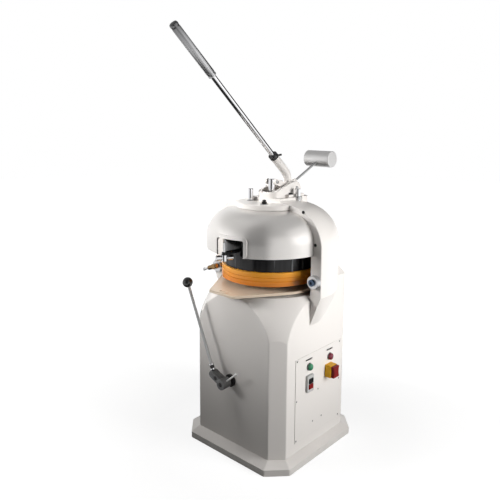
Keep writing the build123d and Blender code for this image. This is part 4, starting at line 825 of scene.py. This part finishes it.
class DIVIDER_OT_lever_grip(Operator):
    """Fluted metal grip at the end of the press lever"""

    bl_idname = "divider.lever_grip"
    bl_label = "Lever grip"

    def execute(self, context):
        sizes = context.scene.divider_sizes
        low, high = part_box("lever_grip")
        radius = (high.x - low.x) / 2
        spread = 2 * radius * math.sin(LEVER_LEAN)
        length = ((high.y - low.y) - spread) / math.cos(LEVER_LEAN)
        sides = FLUTE_SIDES * sizes.grip_flutes
        tip = [(across, length - drop) for across, drop in shaped(GRIP_TIP, radius)]
        grip = turned("lever_grip_fluted", shaped(GRIP_FOOT, radius) + tip, sides)
        bpy.ops.object.mode_set(mode="EDIT")
        bpy.ops.mesh.select_all(action="DESELECT")
        bpy.ops.object.mode_set(mode="OBJECT")
        step = 2 * math.pi / sides
        start = GRIP_FOOT[-1][1] - FLUTE_SLACK
        end = length - GRIP_TIP[0][1] + FLUTE_SLACK
        for vertex in grip.data.vertices:
            number = round(math.atan2(vertex.co.y, vertex.co.x) / step)
            vertex.select = start < vertex.co.z < end and number % FLUTE_SIDES == 0
        bpy.ops.object.mode_set(mode="EDIT")
        share = 1.0 - sizes.flute_depth / radius
        bpy.ops.transform.resize(value=(share, share, 1), center_override=ORIGIN)
        closed(grip)
        centre = (low + high) / 2
        stand(grip, centre - LEVER_ALONG * (length / 2), LEVER_ALONG)
        fitted(grip, "press_lever", "grip_metal", stands_for=["lever_grip"], angle=24.0)
        return {"FINISHED"}


class DIVIDER_OT_crown_fittings(Operator):
    """Wiper seals round the guide columns, and the crown plate's stop screw with its washer"""

    bl_idname = "divider.crown_fittings"
    bl_label = "Crown fittings"

    def execute(self, context):
        sizes = context.scene.divider_sizes
        low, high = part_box("guide_columns")
        radius = COLUMN_RADIUS
        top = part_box("crown_plate")[1].z
        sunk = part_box("lever_bracket")[0].z - SEAL_SINK
        outer, height = sizes.seal_radius, sizes.seal_height
        for name, place, sink in (
            ("left_seal", (low.x + radius, low.y + radius, top), 0.0),
            ("right_seal", (high.x - radius, high.y - radius, sunk), SEAL_SINK),
        ):
            lip = [(across, rise + sink) for across, rise in shaped(SEAL_SHAPE, outer, height)]
            profile = [(outer, 0.0), *lip, (SEAL_BORE * radius, height + sink)]
            fitted(stand(turned(name, profile, sides=40), place), "base", "bright_steel")
        across, tall = sizes.stop_radius, sizes.stop_height
        base = Vector((*STOP_PLACE, top))
        washer = turned("stop_washer", shaped(WASHER_SHAPE, across), sides=40)
        fitted(stand(washer, base), "base", "bright_steel")
        profile = shaped(STOP_FOOT, across) + shaped(STOP_SHAPE, across, tall)
        head = softened(turned("stop_screw", profile, sides=6), STOP_EDGE)
        fitted(stand(head, base, spin=STOP_SPIN), "base", "dark_casting")
        return {"FINISHED"}


class DIVIDER_OT_lamp_strips(Operator):
    """Dark strips on the side cover above the pilot lamps"""

    bl_idname = "divider.lamp_strips"
    bl_label = "Lamp strips"

    def execute(self, context):
        sizes = context.scene.divider_sizes
        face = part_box("side_cover")[1].x
        strip = flat("green_lamp_strip", sizes.strip_length, sizes.strip_width)
        lifted(STRIP_THICKNESS)
        bpy.ops.mesh.inset(thickness=STRIP_RIM, depth=0.0)
        bpy.ops.transform.translate(value=(0, 0, STRIP_CROWN))
        closed(strip)
        softened(strip, STRIP_EDGE)
        stand(strip, ORIGIN, RIGHT)
        twin = copied(strip, "red_lamp_strip")
        for piece, node in ((strip, "green_lamp"), (twin, "red_lamp")):
            low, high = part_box(node)
            centre = (low + high) / 2
            stand(piece, (face, centre.y, centre.z + sizes.strip_rise))
            fitted(piece, "base", "strip_plastic")
        return {"FINISHED"}


class DIVIDER_OT_rounding_fittings(Operator):
    """Collars of the rounding lever's sleeve, and the clamping pin and bolts of its hub"""

    bl_idname = "divider.rounding_fittings"
    bl_label = "Rounding lever fittings"

    def execute(self, context):
        low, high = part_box("rounding_rod")
        radius = (high.y - low.y) / 2
        middle_y = (low.y + high.y) / 2
        foot_x = high.x - radius * math.cos(ROUNDING_LEAN)
        foot = Vector((foot_x, middle_y, low.z - radius * math.sin(ROUNDING_LEAN)))
        bore, height = COLLAR_BORE * radius, COLLAR_SHAPE[-1][1]
        for name, reach, outer in COLLARS:
            profile = [(bore, 0.0), *shaped(COLLAR_SHAPE, outer), (bore, height)]
            collar = stand(turned(name, profile, sides=32), foot + ROUNDING_UP * reach, ROUNDING_UP)
            fitted(collar, "rounding_lever", "chrome")
        hub_low, hub_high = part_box("rounding_shaft")
        axis = (hub_low + hub_high) / 2
        axis.y = middle_y
        pin = turned("hub_pin", PIN_PROFILE, sides=24)
        fitted(stand(pin, axis, PIN_ALONG), "rounding_lever", "weight_steel")
        bolt = softened(turned("hub_bolt", BOLT_PROFILE, sides=6), BOLT_EDGE)
        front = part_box("rounding_hub")[0].y
        stand(bolt, ORIGIN, FRONT)
        screw = copied(bolt, "arm_screw")
        fitted(stand(bolt, (axis.x, front, axis.z)), "rounding_lever", "dark_casting")
        arm = axis.lerp(foot, ARM_SCREW)
        stand(screw, (arm.x, middle_y - ARM_HALF, arm.z))
        fitted(screw, "rounding_lever", "dark_casting")
        return {"FINISHED"}


class DIVIDER_OT_neck_rings(Operator):
    """Ridge rings round the gooseneck below the lever's collar"""

    bl_idname = "divider.neck_rings"
    bl_label = "Neck rings"

    def execute(self, context):
        ring = stand(turned("neck_ring_1", RING_PROFILE, sides=48), ORIGIN, LEVER_ALONG)
        rings = [ring] + [copied(ring, f"neck_ring_{number}") for number in (2, 3)]
        for piece, drop in zip(rings, RING_DROPS):
            stand(piece, Vector(SOCKET_END) - LEVER_ALONG * drop)
            fitted(piece, "press_lever", "white_enamel")
        return {"FINISHED"}


class DIVIDER_OT_band_plugs(Operator):
    """Dark plugs over the fixing screws in the hood's front band"""

    bl_idname = "divider.band_plugs"
    bl_label = "Band plugs"

    def execute(self, context):
        radius = context.scene.divider_sizes.plug_radius
        plug = stand(turned("band_plug_right", shaped(PLUG_SHAPE, radius), sides=28), ORIGIN, FRONT)
        plugs = [plug] + [copied(plug, name) for name in ("band_plug_left", "band_plug_high")]
        for piece, (x, z) in zip(plugs, PLUG_PLACES):
            fitted(stand(piece, (x, HOOD_FRONT, z)), "base", "dark_casting")
        return {"FINISHED"}


class DIVIDER_OT_studio(Operator):
    """Pale floor, soft lights, white surroundings and the camera"""

    bl_idname = "divider.studio"
    bl_label = "Studio"

    def execute(self, context):
        stage = context.scene.divider_stage
        self.floor(context.scene.divider_finishes.floor)
        self.surroundings(context.scene, stage.room_strength)
        self.softbox(
            "right_softbox", (2.5, 0.48, 1.25), (0, 0, 0.8), (1.0, 1.4), stage.key_power, 80.0
        )
        self.softbox(
            "left_softbox", (-1.36, -1.67, 1.56), (0, 0, 1.1), (0.7, 0.7), stage.fill_power, 48.0
        )
        self.softbox("top_softbox", (-1.0, -0.9, 3.2), (0, 0, 0.6), (1.4, 1.4), stage.top_power)
        self.softbox(
            "gleam_light", (3.03, 1.03, 2.2), (0, 0, 1.2), (3.2, 4.0), stage.gleam_power,
            only_mirrored=True,
        )
        self.camera(context.scene, stage)
        self.dark_wall("dark_wall_front", (-43.0, 1.0), (3.3, 0.5), (0.0, 6.5))
        self.dark_wall("dark_wall_side", (93.0, 178.0), (3.6, 3.6), (1.2, 3.6))
        self.dark_carpet("dark_carpet", (-4.0, -0.6), (-0.9, 1.2))
        context.scene.view_settings.view_transform = "Standard"
        return {"FINISHED"}

    def floor(self, colour):
        """Round floor with a soft edge that keeps the machine's shadow on white."""
        bpy.ops.object.select_all(action="DESELECT")
        bpy.ops.mesh.primitive_circle_add(vertices=96, radius=FLOOR_RADIUS, fill_type="NGON")
        floor = added("studio_floor")
        bpy.ops.mesh.inset(thickness=FLOOR_RIM, depth=0.0)
        closed(floor)
        mix = Surface("studio_floor")
        tree = mix.tree
        shades = mix.shades(mix.noise(1.3), darker(colour, 0.985), colour)
        mix.feed("Base Color", shades)
        mix.plain(Roughness=0.75, Emission_Color=WHITE)
        distance = wired(tree, "VectorMath", "Value", {0: mix.place}, operation="LENGTH")
        whiteness = mix.between(distance, low=0.80, high=1.0, start=0.6, end=1.8)
        mix.feed("Emission Strength", mix.times(whiteness, seen_rays(tree)))
        floor.data.materials.append(mix.material)

    def surroundings(self, scene, strength):
        """White behind the machine, a dark ceiling in reflections, and soft as light."""
        world = bpy.data.worlds.new("studio")
        scene.world = world
        world.use_nodes = True
        tree = world.node_tree
        background = tree.nodes["Background"]
        background.inputs["Color"].default_value = WHITE
        view = wired(tree, "TexCoord", "Generated", {})
        upright = wired(tree, "SeparateXYZ", "Z", {"Vector": view})
        ceiling = ranged(tree, upright, low=1.0, high=0.4, start=0.30, end=0.60)
        level = worked_out(tree, "MAXIMUM", seen_rays(tree, ceiling), strength)
        tree.links.new(level, background.inputs["Strength"])

    def softbox(self, name, place, target, size, power, spread=180.0, only_mirrored=False):
        """A rectangular light that looks at a target, narrowed by a grid where its spread is
        small, and seen by what it lights or only in reflections."""
        bpy.ops.object.light_add(type="AREA", location=place)
        lamp = bpy.context.object
        lamp.name = name
        lamp.data.shape = "RECTANGLE"
        lamp.data.size, lamp.data.size_y = size
        lamp.data.energy = power
        lamp.data.spread = math.radians(spread)
        lamp.visible_camera = False
        lamp.visible_glossy = only_mirrored
        lamp.visible_diffuse = not only_mirrored
        lamp.rotation_mode = "QUATERNION"
        lamp.rotation_quaternion = (Vector(target) - Vector(place)).to_track_quat("-Z", "Y")

    def dark_wall(self, name, bearings, radii, heights):
        """Dark curved wall that only reflections see, between two bearings from the camera's,
        leaning from the radius of its foot to that of its top."""
        start, end = bearings
        low, high = heights
        bpy.ops.object.select_all(action="DESELECT")
        bpy.ops.mesh.primitive_cone_add(
            vertices=120, radius1=radii[0], radius2=radii[1], depth=high - low,
            end_fill_type="NOTHING", location=(0, 0, (low + high) / 2),
        )
        wall = added(name)
        bpy.ops.mesh.select_all(action="DESELECT")
        bpy.ops.object.mode_set(mode="OBJECT")
        for face in wall.data.polygons:
            bearing = math.degrees(math.atan2(face.center.x, -face.center.y)) - CAMERA_BEARING
            bearing = (bearing + 180.0) % 360.0 - 180.0
            face.select = not start < bearing < end
        bpy.ops.object.mode_set(mode="EDIT")
        bpy.ops.mesh.delete(type="FACE")
        bpy.ops.mesh.select_all(action="SELECT")
        bpy.ops.mesh.flip_normals()
        bpy.ops.object.mode_set(mode="OBJECT")
        self.unlit(wall)

    def dark_carpet(self, name, near, far):
        """Dark patch of floor that only reflections see, between two corners."""
        carpet = flat(name, far[0] - near[0], far[1] - near[1])
        bpy.ops.mesh.inset(thickness=CARPET_RIM, depth=0.0)
        middle = ((near[0] + far[0]) / 2, (near[1] + far[1]) / 2, CARPET_LIFT)
        bpy.ops.transform.translate(value=middle)
        bpy.ops.mesh.select_all(action="INVERT")
        bpy.ops.mesh.delete(type="FACE")
        bpy.ops.object.mode_set(mode="OBJECT")
        self.unlit(carpet)

    def unlit(self, screen):
        """Finish a dark screen and hide it from everything but reflections."""
        mix = Surface(screen.name)
        mix.feed("Base Color", mix.shades(mix.noise(2.0), *SCREEN_SHADES))
        screen.data.materials.append(mix.material)
        screen.visible_camera = False
        screen.visible_diffuse = False
        screen.visible_shadow = False

    def camera(self, scene, stage):
        """Camera at the right front of the machine, a little above the dough plate."""
        yaw = Matrix.Rotation(stage.camera_yaw, 4, "Z")
        pitch = Matrix.Rotation(math.pi / 2 - stage.camera_pitch, 4, "X")
        roll = Matrix.Rotation(stage.camera_roll, 4, "Z")
        place = yaw @ Vector((0.0, -stage.camera_reach, stage.camera_height))
        bpy.ops.object.camera_add(location=place)
        camera = bpy.context.object
        camera.name = "photo_camera"
        camera.matrix_world = Matrix.Translation(place) @ yaw @ pitch @ roll
        camera.data.sensor_width = 36.0
        camera.data.lens = stage.focal_length
        camera.data.shift_x = stage.shift_x
        camera.data.shift_y = stage.shift_y
        camera.data.clip_end = 60.0
        scene.camera = camera


class DIVIDER_PT_sidebar(Panel):
    """Lists the machine's pieces in the 3D view's sidebar"""

    bl_idname = "DIVIDER_PT_sidebar"
    bl_label = "Dough divider rounder"
    bl_space_type = "VIEW_3D"
    bl_region_type = "UI"
    bl_category = "Divider"

    def draw(self, context):
        for operator in OPERATORS:
            self.layout.operator(operator.bl_idname)
        scene = context.scene
        for group in (scene.divider_finishes, scene.divider_sizes, scene.divider_stage):
            box = self.layout.box()
            for name in group.__annotations__:
                box.prop(group, name)


OPERATORS = (
    DIVIDER_OT_studio,
    DIVIDER_OT_finishes,
    DIVIDER_OT_pilot_lamps,
    DIVIDER_OT_cover_screws,
    DIVIDER_OT_cover_shade_rim,
    DIVIDER_OT_lever_grip,
    DIVIDER_OT_crown_fittings,
    DIVIDER_OT_lamp_strips,
    DIVIDER_OT_rounding_fittings,
    DIVIDER_OT_neck_rings,
    DIVIDER_OT_band_plugs,
)
CLASSES = (DividerFinishes, DividerSizes, DividerStage, *OPERATORS, DIVIDER_PT_sidebar)


def register():
    for entry in CLASSES:
        bpy.utils.register_class(entry)
    bpy.types.Scene.divider_finishes = PointerProperty(type=DividerFinishes)
    bpy.types.Scene.divider_sizes = PointerProperty(type=DividerSizes)
    bpy.types.Scene.divider_stage = PointerProperty(type=DividerStage)


def unregister():
    del bpy.types.Scene.divider_stage
    del bpy.types.Scene.divider_sizes
    del bpy.types.Scene.divider_finishes
    for entry in reversed(CLASSES):
        bpy.utils.unregister_class(entry)


def main():
    register()
    bpy.ops.divider.studio()
    bpy.ops.divider.finishes()
    bpy.ops.divider.pilot_lamps()
    bpy.ops.divider.cover_screws()
    bpy.ops.divider.cover_gasket()
    bpy.ops.divider.lever_grip()
    bpy.ops.divider.crown_fittings()
    bpy.ops.divider.lamp_strips()
    bpy.ops.divider.rounding_fittings()
    bpy.ops.divider.neck_rings()
    bpy.ops.divider.band_plugs()


if __name__ == "__main__":
    main()
